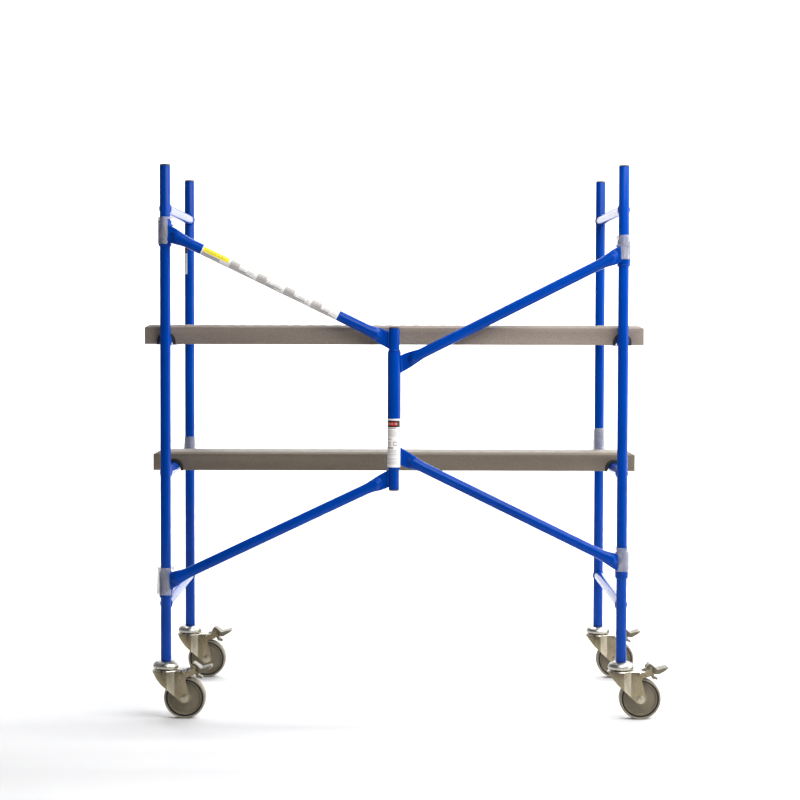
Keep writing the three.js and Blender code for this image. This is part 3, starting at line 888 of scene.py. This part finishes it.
def deck_shape():
    """Pressed steel channel: rolled edges, returned lips, closed ends, half-round notches over the rungs and a pressed grip pattern."""
    h0, h1, d, hl = -BELOW, ABOVE, PLANK_D, PLANK_HALF
    skin = soften([(0, h0), (d, h0), (d, h1 - 5.6), (d - 7, h1), (7, h1), (0, h1 - 5.6)], [1.0, 1.0, 2.0, 2.4, 2.4, 2.0], 4, closed=True)

    def ends(lift, back):
        e = hl - back
        return [
            prism([(sg * (e - 11), h1 - lift), (sg * e, h1 - 6.2 - lift), (sg * (e + 9), h1 - 6.2 - lift), (sg * (e + 9), h1 + 9), (sg * (e - 11), h1 + 9)], -20, d + 20, axis="y")
            for sg in (-1, 1)
        ]

    base = carve(temp_object(prism(skin, -hl, hl, 0.8, 0.8, axis="x", n=3), "deck"), ends(0, 0))
    inner = soften([(2, h0 + 2), (d - 2, h0 + 2), (d - 2, h1 - 6.8), (d - 8, h1 - 2), (8, h1 - 2), (2, h1 - 6.8)], [0.6, 0.6, 1.4, 1.6, 1.6, 1.4], 3, closed=True)
    hollow = to_shape(carve(temp_object(prism(inner, -hl + 2, hl - 2, axis="x"), "hollow"), ends(2, 2)))
    slot = [(10, h0 - 4), (d - 10, h0 - 4), (d - 10, h0 + 4), (10, h0 + 4)]
    cuts = [hollow, prism(slot, -hl + 2, hl - 2, axis="x")]
    for x in (-SPAN / 2, SPAN / 2):
        o = notch_outline(NOTCH_R, -1.7, h0 - 6, 28)
        cuts.append(prism([(u + x, v) for u, v in o], -20, d + 20, axis="y"))
    carve(base, cuts)
    bevelled(base, 0.7, 2, 36)
    s = to_shape(base)
    # grip pattern: two staggered rows of low oval buttons, 65 mm apart
    rings, spokes = 7, 28
    for row, y0 in enumerate((0.27 * d, 0.73 * d)):
        x = -hl + 40 + (32.5 if row else 0)
        while x < hl - 30:
            verts, faces = [], []
            for j in range(rings + 1):
                q = j / rings
                z = h1 - 0.12 + 1.25 * (0.5 + 0.5 * math.cos(math.pi * q))
                if j == 0:
                    verts.append((x, y0, z))
                    continue
                for i in range(spokes):
                    a = 2 * math.pi * i / spokes
                    verts.append((x + 17 * q * math.cos(a), y0 + 9 * q * math.sin(a), z))
            for i in range(spokes):
                k = (i + 1) % spokes
                faces.append((0, 1 + i, 1 + k))
                for j in range(rings - 1):
                    a, b = 1 + j * spokes, 1 + (j + 1) * spokes
                    faces.append((a + i, b + i, b + k, a + k))
            faces.append(tuple(1 + (rings - 1) * spokes + i for i in range(spokes))[::-1])
            s.add(verts, faces)
            x += 65
    return s


def saddle_shape():
    """Moulded half-round liner, snapped over the notch, with a small lip outside each wall of the plank."""
    zc = TUBE_R + GAP - SADDLE_IN
    end = -BELOW - 1

    def outline(outer):
        o = notch_outline(outer, zc, end, 24)
        n = 24
        i = [(-SADDLE_IN - 1.9, end), (-SADDLE_IN, -3)]
        for k in range(n + 1):
            a = math.pi * (1 - k / n)
            i.append((SADDLE_IN * math.cos(a), zc + SADDLE_IN * math.sin(a)))
        i += [(SADDLE_IN, -3), (SADDLE_IN + 1.9, end)]
        return o + i

    s = prism(outline(SADDLE_OUT), -0.4, PLANK_D + 0.4, 0.5, 0.5, axis="y", n=3)
    s.join(prism(outline(SADDLE_OUT + 0.9), -1.4, -0.05, 0.5, 0.2, axis="y", n=3))
    s.join(prism(outline(SADDLE_OUT + 0.9), PLANK_D + 0.05, PLANK_D + 1.4, 0.2, 0.5, axis="y", n=3))
    return s


DECK, SADDLE = deck_shape(), saddle_shape()
for level, rung in (("upper", 1), ("lower", 2)):
    y = (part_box(f"{level}_plank_deck")[0].y - OY) * 1000
    z = RUNGS[rung]
    make(f"{level}_plank_board", DECK.moved(0, y, z), GREY[level], f"{level}_plank", f"{level}_plank_deck", angle=32)
    for side, sx in (("left", -1), ("right", 1)):
        make(
            f"{level}_plank_{side}_liner",
            SADDLE.moved(sx * SPAN / 2, y, z),
            LINER,
            f"{level}_plank",
            f"{level}_plank_{side}_saddle",
        )

# ---- casters ---------------------------------------------------------------
HEAD_R, CHEEK, CHEEK_T = 33.0, 22.0, 2.5
FORK_TOP, RACE_TOP, CUP_BOTTOM = 118.7, 120.7, 121.0


def head_outline(r, cheek, x_end, n=40):
    a0, a1 = math.radians(-80), -math.pi
    lower = [(r * math.cos(a0 + (a1 - a0) * i / n), r * math.sin(a0 + (a1 - a0) * i / n)) for i in range(n + 1)]
    pts = [(x_end, -cheek), (23.6, -cheek), (22.2, -cheek - 0.5)] + lower
    upper = [(x, -y) for x, y in pts[:-1]][::-1]
    return pts + upper


CHEEK_SIDE = soften(
    [
        (-34, 121), (-34, 116.2), (-23.6, 102.5), (-11.2, 87), (1.2, 76), (34.6, 43), (41, 38.8), (50, 38.7), (57, 42.5),
        (60, 50.5), (48.5, 96), (50.5, 101.5), (69, 106.2), (72, 111), (72, 127.5), (67, 131.3), (62.4, 127.8), (60.4, 119.4),
        (57.2, 118.8), (56.4, 121),
    ],
    [0, 2, 6, 12, 30, 10, 5, 5, 5, 6, 9, 7, 6, 5, 3.5, 3, 2, 1.8, 1.8, 0.5],
    5,
    closed=True,
)


def fork_shape():
    """Pressed fork: round head, cheeks folded down from it, ears for the brake pin, axle and king-pin holes."""
    outer = prism(head_outline(HEAD_R, CHEEK, 60), 30, FORK_TOP, 0, 4.2, n=5)
    base = temp_object(outer, "fork")
    carve(base, [prism(head_outline(HEAD_R - CHEEK_T, CHEEK - CHEEK_T, 90), 20, FORK_TOP - CHEEK_T, 0, 1.2, n=3)])
    for sgn in (-1, 1):
        ys = sorted((sgn * CHEEK, sgn * (CHEEK - CHEEK_T)))
        low = [(44, 98), (76, 98), (76, 134), (58.0, 134), (58.0, 117), (44, 114.5)]
        carve(base, [prism(low, ys[0], ys[1], axis="y")], "UNION")
    carve(base, [prism(CHEEK_SIDE, -40, 40, axis="y")], "INTERSECT")
    carve(
        base,
        [
            prism([(50.6, -19.5), (61.2, -19.5), (61.2, 19.5), (50.6, 19.5)], 104, 130),
            prism(disc(0, 0, 8.6, 36), 100, 130),
            prism(disc(TRAIL, AXLE_Z, 6.4, 32), -40, 40, axis="y"),
            prism(disc(PEDAL[0], PEDAL[1], 2.9, 24), -40, 40, axis="y"),
        ],
    )
    bevelled(base, 0.45, 2, 42)
    s = to_shape(base)
    # lower ball race, pressed up out of the head
    s.join(lathe(soften([(8.8, 117.2), (25.6, 117.2), (25.6, 119.4), (22.5, RACE_TOP), (12, RACE_TOP), (8.8, 119.6)], [0.2, 0.2, 1.4, 1.2, 1.2, 0.6], 4, closed=True), 56, closed=True))
    # rivets on both cheeks
    for sgn in (-1, 1):
        dome = [(0, 1.7), (1.6, 1.45), (2.7, 0.75), (3.1, -0.2), (3.1, -1.2), (0, -1.2)]
        r = lathe([(a, h) for a, h in soften(dome, 0.6, 3)], 24, axis="y")
        s.join(r.mapped(lambda v, sgn=sgn: v * np.array([1, sgn, 1]) + np.array([44.6, sgn * CHEEK, 112.0])))
    return s


def slot_shade_block_shape():
    """Painted shade: a black block under the end of the head, seen through the slot behind the pedal, standing in for
    the shade there.
    """
    return prism(soften([(51.0, 108.5), (59.4, 108.5), (59.4, 117.9), (51.0, 117.9)], 0.8, 3, closed=True), -19.2, 19.2, 0.5, 0.5, axis="y", n=2)


def stem_shape():
    """Domed bearing cup with the king pin through it and the expanding stem in the post."""
    cup = soften(
        [(9.0, CUP_BOTTOM + 0.2), (29.2, CUP_BOTTOM), (31.2, 123.4), (31.4, 127.6), (28.6, 133.6), (22.6, 137.6), (15.0, 138.7), (9.0, 138.7)],
        [0.2, 1.0, 1.6, 4.0, 6.0, 5.0, 1.0, 0.3],
        5,
        closed=True,
    )
    s = lathe(cup, 72, closed=True)
    pin = soften([(0, 108.9), (9.5, 108.9), (11.8, 110.2), (12, 115.2), (8, 115.4), (8, 138), (10.4, 138.9), (10.4, 196), (8.6, 198), (0, 198)], 0.7, 3)
    s.join(lathe(pin, 40))
    return s


def tread_shape():
    prof = soften(
        [(45.2, -14.6), (47.6, -15.6), (49.5, -13.8), (WHEEL_R, -9), (WHEEL_R, 9), (49.5, 13.8), (47.6, 15.6), (45.2, 14.6)],
        [0.5, 1.4, 2.5, 4, 4, 2.5, 1.4, 0.5],
        4,
        closed=True,
    )
    return lathe(prof, 128, axis="y", closed=True)


def core_shape():
    half = [(6.6, 18.3), (11.6, 18.3), (13.4, 17.2), (14.6, 9.8), (18, 8.9), (35.5, 7.8), (36.9, 8.4), (38.8, 12.2), (41.0, 13.0), (41.4, 11.5)]
    r = [0.4, 1.0, 1.2, 1.8, 3, 4, 3, 2, 0.7, 0.3]
    prof = half + [(x, -h) for x, h in half[::-1]]
    s = lathe(soften(prof, r + r[::-1], 4, closed=True), 96, axis="y", closed=True)
    return s


def seam_shape():
    """Dark ring between the core and the tread."""
    prof = soften([(41.0, -12.4), (45.3, -12.9), (45.3, 12.9), (41.0, 12.4)], 0.3, 2, closed=True)
    return lathe(prof, 96, axis="y", closed=True)


def hex_outline(flat, n=6, turn=0.0):
    r = flat / 2 / math.cos(math.pi / n)
    return [(r * math.cos(turn + 2 * math.pi * i / n), r * math.sin(turn + 2 * math.pi * i / n)) for i in range(n)]


def bolt_shape():
    """Axle bolt: hexagon head and washer in front, nut, washer and thread end behind."""
    s = Shape()
    s.join(lathe(soften([(0, -22.6), (6.1, -22.6), (6.1, 27.2), (5.2, 28), (0, 28)], 0.4, 2), 32, axis="y"))
    for y0, y1 in ((-23.7, -22.1), (22.1, 23.7)):
        s.join(lathe(soften([(5.0, y0), (9.5, y0), (9.5, y1), (5.0, y1)], 0.45, 3, closed=True), 48, axis="y", closed=True))
    for y0, y1, tall in ((-27.6, -23.6, 1), (23.6, 27.2, 0)):
        hexa = soften(hex_outline(15.4, turn=0.2), 1.1, 3, closed=True)
        s.join(prism(hexa, y0, y1, 1.1 if tall else 0.3, 0.3 if tall else 1.0, axis="y", n=4))
    return s


def pedal_shape():
    """Bent brake pedal with a dished toe, its pin, and the strap that presses on the tread."""
    px, pz = PEDAL
    line = soften([(60.6, 119.4), (66.6, 134.4), (70.6, 133.6), (86.0, 120.9), (111.8, 127.6)], [0, 3.5, 4, 5, 0], 6)
    line = np.array(line)
    t = np.gradient(line, axis=0)
    t /= np.linalg.norm(t, axis=1, keepdims=True)
    nrm = np.stack([-t[:, 1], t[:, 0]], 1)
    th = 1.35
    outline = [tuple(p) for p in line + nrm * th] + [tuple(p) for p in (line - nrm * th)[::-1]]
    base = temp_object(prism(soften(outline, 0.5, 2, closed=True), -24, 24, axis="y"), "pedal")
    plan = soften([(54, -17.6), (76, -17.6), (82, -22), (106, -22), (113.4, -15), (113.4, 15), (106, 22), (82, 22), (76, 17.6), (54, 17.6)], [0, 2, 5, 6, 7, 7, 6, 5, 2, 0], 6, closed=True)
    carve(base, [prism(plan, 100, 150)], "INTERSECT")
    under = soften(
        [(60.8, 119.0), (66.6, 133.4), (70.6, 132.6), (86.0, 120.0), (112.6, 127.0), (112.6, 124.2), (104, 119.2), (90, 111.6), (80, 111.4), (72, 116.8), (66, 116.2)],
        [0, 3, 3, 4, 0, 2, 6, 6, 5, 4, 3],
        5,
        closed=True,
    )
    skirt = temp_object(prism(under, -24, 24, axis="y"), "skirt")
    carve(skirt, [prism(plan, 90, 150)], "INTERSECT")
    carve(skirt, [prism(offset_outline(plan, 2.0).tolist(), 80, 160), prism([(40, -15.6), (62, -15.6), (62, 15.6), (40, 15.6)], 80, 160)])
    carve(base, [to_shape(skirt)], "UNION")
    bevelled(base, 0.5, 2, 45)
    s = to_shape(base)
    # three grip ribs across the toe
    for x, z in ((93.5, 124.3), (99.0, 125.7), (104.5, 127.15)):
        s.join(sweep([(x, y, z) for y in np.linspace(-15, 15, 9)], [0.3] + [1.0] * 7 + [0.3], 10))
    s.join(lathe(soften([(0, -21.8), (2.6, -21.8), (2.6, 21.8), (0, 21.8)], 0.4, 2), 20, axis="y").moved(px, 0, pz))
    s.join(lathe(soften([(2.0, -17.4), (5.0, -17.4), (5.0, 17.4), (2.0, 17.4)], 0.6, 3, closed=True), 28, axis="y", closed=True).moved(px, 0, pz))
    # strap and shoe: the shoe's lower face meets the tread when the toe is down
    travel = math.radians(18)
    arc = []
    for i in range(5):
        a = math.radians(52 + 14 * i / 4)
        x, z = TRAIL + (WHEEL_R + 0.7) * math.cos(a) - px, AXLE_Z + (WHEEL_R + 0.7) * math.sin(a) - pz
        c, n = math.cos(-travel), math.sin(-travel)
        arc.append((px + x * c + z * n, pz - x * n + z * c))
    arm = [(px - 2.6, pz - 3)] + arc[::-1] + [(88.3, 100.4), (80.4, 103.9), (77.2, 118.6), (px + 4.6, pz + 1)]
    s.join(prism(soften(arm, [1.5, 0.6, 0, 0, 0, 0.6, 1.2, 3, 2, 2], 3, closed=True), -10.8, 10.8, 0.7, 0.7, axis="y", n=3))
    return s


def spring_shape():
    """Torsion spring round the pedal pin, with its leg down on to the strap."""
    px, pz = PEDAL
    s = Shape()
    for sgn in (-1, 1):
        pts = []
        turns = 2.75
        for i in range(int(turns * 20) + 1):
            a = 2 * math.pi * i / 20
            pts.append((px + 6.0 * math.cos(a), sgn * (13.2 + 1.25 * i / 20), pz + 6.0 * math.sin(a)))
        x, y, z = pts[-1]
        for t in np.linspace(0.12, 1, 8):
            pts.append((x + 17 * t, y, z - 14 * t + 6 * t * t))
        s.join(sweep(pts, 0.62, 8))
    return s


PARTS = {
    "fork": fork_shape(),
    "stem": stem_shape(),
    "tread": tread_shape(),
    "core": core_shape(),
    "seam": seam_shape(),
    "bolt": bolt_shape(),
    "pedal": pedal_shape(),
    "spring": spring_shape(),
    "stop": slot_shade_block_shape(),
}
for side, sx in (("left", -1), ("right", 1)):
    for end, y in (("front", 0), ("rear", DEPTH)):
        tag = f"{side}_{end}"
        X = sx * SPAN / 2
        make(f"{tag}_bearing_cup", PARTS["stem"].moved(X, y), CUP, f"{side}_end_frame", f"{tag}_caster_stem")
        make(f"{tag}_pressed_fork", PARTS["fork"].moved(X, y), FORK, f"{tag}_fork", f"{tag}_caster_fork", angle=30)
        make(f"{tag}_axle_hardware", PARTS["bolt"].moved(X + TRAIL, y, AXLE_Z), BOLT, f"{tag}_fork", f"{tag}_axle_bolt", angle=30)
        make(f"{tag}_tyre", PARTS["tread"].moved(X + TRAIL, y, AXLE_Z), TREAD, f"{tag}_wheel", f"{tag}_wheel_tread")
        make(f"{tag}_wheel_centre", PARTS["core"].moved(X + TRAIL, y, AXLE_Z), CORE, f"{tag}_wheel", f"{tag}_wheel_core")
        make(f"{tag}_wheel_ring", PARTS["seam"].moved(X + TRAIL, y, AXLE_Z), SEAM, f"{tag}_wheel", None)
        make(f"{tag}_pedal", PARTS["pedal"].moved(X, y), PEDAL_ZINC, f"{tag}_pedal", f"{tag}_brake_pedal", angle=32)
        # painted shade: a black block inside the fork so that the slot behind the pedal reads dark
        make(f"{tag}_fork_slot_shade_block", PARTS["stop"].moved(X, y), LINER, f"{tag}_fork", None)
        make(f"{tag}_pedal_spring", PARTS["spring"].moved(X, y), YELLOW_ZINC, f"{tag}_pedal", None)

# ---- camera ----------------------------------------------------------------
cam = bpy.data.objects.new("camera", bpy.data.cameras.new("camera"))
bpy.context.scene.collection.objects.link(cam)
PITCH, YAW, ROLL = math.radians(2.331), math.radians(0.043), math.radians(0.141)
fwd = Vector((math.sin(YAW) * math.cos(PITCH), math.cos(YAW) * math.cos(PITCH), -math.sin(PITCH)))
right = Vector((math.cos(YAW), -math.sin(YAW), 0))
up = right.cross(fwd)
right, up = right * math.cos(ROLL) + up * math.sin(ROLL), up * math.cos(ROLL) - right * math.sin(ROLL)
basis = Matrix((right, up, -fwd)).transposed().to_4x4()
basis.translation = Vector((-0.01950, -5.08397, 0.96674))
cam.matrix_world = basis
cam.data.sensor_width = 36.0
cam.data.lens = 1996.642 * 36.0 / 800.0
cam.data.clip_start, cam.data.clip_end = 0.05, 60.0
bpy.context.scene.camera = cam


# ---- labels and film -------------------------------------------------------
def wrapped(origin, along, ref, radius, length, a0, a1, paint, cell=(1.5, 1.2), seed=0):
    """Thin sheet stuck round a tube. paint(u, v) in millimetres says which colour of LABEL a cell has."""
    A = Vector(along).normalized()
    R0 = (Vector(ref) - A * Vector(ref).dot(A)).normalized()
    S0 = A.cross(R0)
    arc = radius * (a1 - a0)
    nu, nv = max(2, round(length / cell[0])), max(2, round(arc / cell[1]))
    verts, faces, mats = [], [], []
    for shell, r in ((0, radius + 0.14), (1, radius + 0.02)):
        for i in range(nu + 1):
            for j in range(nv + 1):
                a = a0 + (a1 - a0) * j / nv
                p = Vector(origin) + A * (length * i / nu) + (R0 * math.cos(a) + S0 * math.sin(a)) * r
                verts.append(tuple(p))
    n1 = (nu + 1) * (nv + 1)
    at = lambda i, j, s=0: s * n1 + i * (nv + 1) + j
    for i in range(nu):
        for j in range(nv):
            faces.append((at(i, j), at(i + 1, j), at(i + 1, j + 1), at(i, j + 1)))
            mats.append(paint((i + 0.5) / nu * length, (j + 0.5) / nv * arc, length, arc))
            faces.append((at(i, j, 1), at(i, j + 1, 1), at(i + 1, j + 1, 1), at(i + 1, j, 1)))
            mats.append(0)
    for i in range(nu):
        for j in (0, nv):
            faces.append((at(i, j), at(i, j, 1), at(i + 1, j, 1), at(i + 1, j)))
            mats.append(0)
    for j in range(nv):
        for i in (0, nu):
            faces.append((at(i, j), at(i, j + 1), at(i, j + 1, 1), at(i, j, 1)))
            mats.append(0)
    return Shape().add(verts, faces, mats)


def sheet(cx, cy, z0, z1, rx, ry, keep, seed, top=1.0, bottom=1.0, ruck=0.7, nz=44, na=150, loose=None):
    """Loose film wrapped round an upright tube. keep(angle, height) says where there is film; 0 degrees faces the front.
    With loose given, the film stands off the tube towards that angle only and lies close to it elsewhere."""
    verts = np.zeros((2, nz + 1, na, 3))
    for i in range(nz + 1):
        f = i / nz
        z = z0 + (z1 - z0) * f
        k = bottom + (top - bottom) * f
        for j in range(na):
            a = 2 * math.pi * j / na
            folds = 0.55 * math.sin(9 * a + seed + 1.6 * f) + 0.35 * math.sin(17 * a - 2 * seed + 3 * f) + 0.5 * wave(7 * a / 3 + f * 5, seed)
            edge = 0.9 * wave(4 * a / 3, seed + 3) * (1 if i in (0, nz) else 0)
            w = 1.0
            if loose is not None:
                w = min(1.0, max(0.0, (math.cos(a - math.radians(loose)) - 0.1) / 0.7))
                w = w * w * (3 - 2 * w)
            ex, ey, amount = (tight + (full - tight) * w for full, tight in ((rx * k, CLOSE), (ry * k, CLOSE), (ruck, 0.1)))
            for q in (0, 1):
                r = amount * folds - 0.18 * q
                verts[q, i, j] = (cx + (ex + r) * math.sin(a), cy - (ey + r) * math.cos(a), z + edge)
    mask = np.zeros((nz, na), bool)
    for i in range(nz):
        for j in range(na):
            a = (360 * (j + 0.5) / na + 180) % 360 - 180
            mask[i, j] = keep(a, z0 + (z1 - z0) * (i + 0.5) / nz)
    at = lambda q, i, j: q * (nz + 1) * na + i * na + j % na
    faces = []
    for i in range(nz):
        for j in range(na):
            if not mask[i, j]:
                continue
            faces.append((at(0, i, j), at(0, i, j + 1), at(0, i + 1, j + 1), at(0, i + 1, j)))
            faces.append((at(1, i, j), at(1, i + 1, j), at(1, i + 1, j + 1), at(1, i, j + 1)))
            if not mask[i, (j - 1) % na]:
                faces.append((at(0, i, j), at(0, i + 1, j), at(1, i + 1, j), at(1, i, j)))
            if not mask[i, (j + 1) % na]:
                faces.append((at(0, i, j + 1), at(1, i, j + 1), at(1, i + 1, j + 1), at(0, i + 1, j + 1)))
            if i == 0 or not mask[i - 1, j]:
                faces.append((at(0, i, j), at(1, i, j), at(1, i, j + 1), at(0, i, j + 1)))
            if i == nz - 1 or not mask[i + 1, j]:
                faces.append((at(0, i + 1, j), at(0, i + 1, j + 1), at(1, i + 1, j + 1), at(1, i + 1, j)))
    used = sorted({k for q in faces for k in q})
    index = {k: n for n, k in enumerate(used)}
    return Shape().add(verts.reshape(-1, 3)[used], [tuple(index[k] for k in q) for q in faces])


# film left on the four hinge sleeves, open where the brace comes out of it
H = SPAN / 2
CLOSE = 17.5
make("film_left_upper", sheet(-H, 0, 1144.5, 1209, 19.4, 24.0, lambda a, z: z > 1203 or not 27 < a < 150, 1.0, loose=25), FILM, "left_gate")
make("film_right_upper", sheet(H, 0, 1110, 1168, 18.9, 24.0, lambda a, z: z > 1158 or not -150 < a < -50, 2.0, 1.06, 1.0, loose=-25), FILM, "right_gate")
make("film_left_lower", sheet(-H, 0, 300.5, 366.5, 20.0, 24.0, lambda a, z: z > 358 or not 42 < a < 150, 3.0, 1.0, 1.08), FILM, "left_gate")
make("film_right_lower", sheet(H, 0, 360, 417, 20.0, 24.0, lambda a, z: z > 409 or not -150 < a < -50, 4.0, 1.0, 1.05), FILM, "right_gate")
make("film_left_rear", sheet(-H, DEPTH, 603, 649, 19.0, 19.0, lambda a, z: z > 616 or abs(a) > 66, 5.0, 0.72, 1.0, 0.5), FILM, "left_end_frame")
make("film_right_rear", sheet(H, DEPTH, 603, 674, 19.5, 19.0, lambda a, z: z > 616 or abs(a) > 66, 6.0, 0.70, 1.0, 0.5), FILM, "right_end_frame")


def bars(h, rows):
    return any(a <= h < b for a, b in rows)


def brace_paint(u, v, length, arc):
    seg = length / 5
    i, w, q = int(u // seg), u % seg, v / arc
    if w < 2.2 or w > seg - 1.6 or u > length - 4 or u < 3.5:
        return 0
    if i % 2 == 0 and i and q < 0.12:
        return 1
    if i % 2 == 0 and q > 0.93:
        return 6
    if i == 0:
        if 0.20 < q < 0.56:
            return 6 if (0.36 < q < 0.43 and 8 < w < 62 and int(w / 3.1) % 3) else 1
        if w < 50 and bars(q, ((0.60, 0.65), (0.69, 0.74), (0.78, 0.82), (0.86, 0.89))):
            return 2
        return 0
    if w < 27 and bars(q, ((0.24, 0.29), (0.32, 0.37), (0.40, 0.45), (0.48, 0.53), (0.56, 0.60))):
        return 2
    if bars(q, ((0.44, 0.48), (0.55, 0.59))) and 27 <= w < seg - 5 and int(w / 4.7 + i) % 5:
        return 3
    if bars(q, ((0.63, 0.68), (0.72, 0.76), (0.80, 0.84), (0.88, 0.90))) and w < seg - (6 + 9 * ((i * 7 + int(q * 25)) % 3)):
        return 2 if q < 0.70 else 3
    return 0


def sleeve_paint(u, v, length, arc):
    h, a = length - u, -112 + 184 * v / arc
    if h < 4.2:
        return 0
    if h < 20.5:
        if a > 58:
            return 0
        if 7.6 < h < 17.0 and a < 34 - 1.1 * abs(h - 12.3) ** 1.5:
            return 5 if not (10.8 < h < 13.8 and int(a / 9) % 3) else 3
        return 4
    if bars(h, ((22.4, 24.2),)) and a < 20:
        return 2
    if bars(h, ((28, 29.2), (31.2, 32.4), (34.4, 35.6), (37.6, 38.8), (40.8, 42.0))) and a < 30 + 9 * math.sin(h):
        return 3
    if bars(h, ((48, 50),)) and a < -24:
        return 2
    if 54 < h < 66 and abs(math.hypot((h - 60), (a - 10) * 0.28) - 4.6) < 0.9:
        return 2
    if 54 < h < 66 and a < -30 and int(h / 1.6) % 2:
        return 3
    if bars(h, ((69, 71.2),)) and a < -8:
        return 4
    if bars(h, ((75, 76.2), (78.4, 79.6), (81.8, 83.0), (85.2, 86.4), (88.6, 89.8))) and a < 34 + 9 * math.cos(h):
        return 3
    if bars(h, ((94, 95.6), (98, 99.2), (101.4, 102.6), (104.8, 106), (108, 109.2))) and a < 40 + 9 * math.sin(2 * h):
        return 3
    return 0


def post_paint(u, v, length, arc):
    h, q = length - u, v / arc
    if h < 16:
        return 4 if 1.2 < h else 0
    if bars(h, ((20, 21.4), (24, 25.4), (28, 29.4), (36, 37.4), (40, 41.4), (44, 45.4), (52, 53.4), (56, 57.4), (60, 61.4))) and 0.12 < q < 0.8:
        return 3
    return 0


p0, p1 = (Vector(p) for p in BRACES["left_upper"])
d = (p1 - p0).normalized()
R75 = math.radians(78)
make("label_left_brace", wrapped(p0 + d * 94.5, d, (0, -1, 0), TUBE_R, 361, -R75, R75, brace_paint, (1.5, 0.9)), LABEL, "left_gate")
make(
    "label_pivot_sleeve",
    wrapped((0, 0, PS0 + 1.5), (0, 0, 1), (0, -1, 0), SLEEVE_R, 117, math.radians(-112), math.radians(72), sleeve_paint, (0.6, 1.1)),
    LABEL,
    "right_gate",
)
make(
    "label_left_rear_post",
    wrapped((-H, DEPTH, 1084.5), (0, 0, 1), (0, -1, 0), TUBE_R, 72, math.radians(-165), math.radians(-21), post_paint, (0.9, 1.1)),
    LABEL,
    "left_end_frame",
)

# ---- floor, backdrop and light ---------------------------------------------
def stage():
    """Floor that sweeps up into a backdrop."""
    prof = [(-1.9, 0.0), (5.6, 0.0)]
    for i in range(1, 25):
        a = math.pi / 2 * i / 24
        prof.append((5.6 + 1.9 * math.sin(a), 1.9 - 1.9 * math.cos(a)))
    prof.append((7.5, 5.6))
    verts, faces = [], []
    xs = np.linspace(-3.2, 11.0, 13)
    for y, z in prof:
        for x in xs:
            verts.append((x, y, z))
    n = len(xs)
    for j in range(len(prof) - 1):
        for i in range(n - 1):
            faces.append((j * n + i, j * n + i + 1, (j + 1) * n + i + 1, (j + 1) * n + i))
    me = bpy.data.meshes.new("floor")
    me.from_pydata(verts, [], faces)
    me.polygons.foreach_set("use_smooth", np.ones(len(me.polygons), dtype=bool))
    m = Mat("floor_pale", Roughness=0.9)
    m.p.inputs["Specular IOR Level"].default_value = 0.1
    m.base(m.mix(m.ramp(m.noise(2.0, 3), [(0.3, 0.0), (0.7, 1.0)]), (0.80, 0.80, 0.80), (0.82, 0.82, 0.82)))
    me.materials.append(m.mat)
    o = bpy.data.objects.new("floor", me)
    bpy.context.scene.collection.objects.link(o)


stage()


def area(name, at, to, size, power, color=(1, 1, 1)):
    d = bpy.data.lights.new(name, "AREA")
    d.shape, d.size, d.size_y, d.energy, d.color = "RECTANGLE", size[0], size[1], power, color
    o = bpy.data.objects.new(name, d)
    o.location = at
    o.rotation_mode = "QUATERNION"
    o.rotation_quaternion = (Vector(to) - Vector(at)).to_track_quat("-Z", "Y")
    bpy.context.scene.collection.objects.link(o)
    return o


area("overhead_front", (1.0, -1.35, 2.2), (0, 0.1, 0.85), (2.2, 1.3), 66)
area("right_side", (3.0, 0.0, 1.5), (0, 0, 0.8), (2.2, 2.6), 62)
area("low_right", (1.65, -1.25, 0.3), (-0.2, -0.2, 0.1), (1.5, 0.5), 1.6)
area("left_side", (-2.6, -1.0, 1.1), (0, 0, 0.8), (1.6, 2.2), 3.2)
area("backdrop_wash", (2.4, 3.2, 5.2), (2.4, 7.2, 1.2), (10.0, 1.6), 900)
area("floor_wash", (2.0, 2.4, 5.2), (2.0, 3.4, 0.0), (8.0, 1.6), 260)

world = bpy.data.worlds.new("studio")
bpy.context.scene.world = world
world.use_nodes = True
wn = world.node_tree
bg = next(n for n in wn.nodes if n.type == "BACKGROUND")
sky = wn.nodes.new("ShaderNodeTexCoord")
part = wn.nodes.new("ShaderNodeSeparateXYZ")
wn.links.new(sky.outputs["Generated"], part.inputs[0])
tone = wn.nodes.new("ShaderNodeValToRGB")
tone.color_ramp.interpolation = "EASE"
tone.color_ramp.elements[0].position, tone.color_ramp.elements[0].color = 0.0, (0.045, 0.046, 0.05, 1)
tone.color_ramp.elements[1].position, tone.color_ramp.elements[1].color = 0.45, (0.40, 0.41, 0.43, 1)
wn.links.new(part.outputs[1], tone.inputs[0])
wn.links.new(tone.outputs[0], bg.inputs["Color"])
bg.inputs["Strength"].default_value = 1.0

bpy.context.scene.view_settings.view_transform = "Standard"
bpy.context.scene.view_settings.look = "None"

bpy.context.view_layer.update()
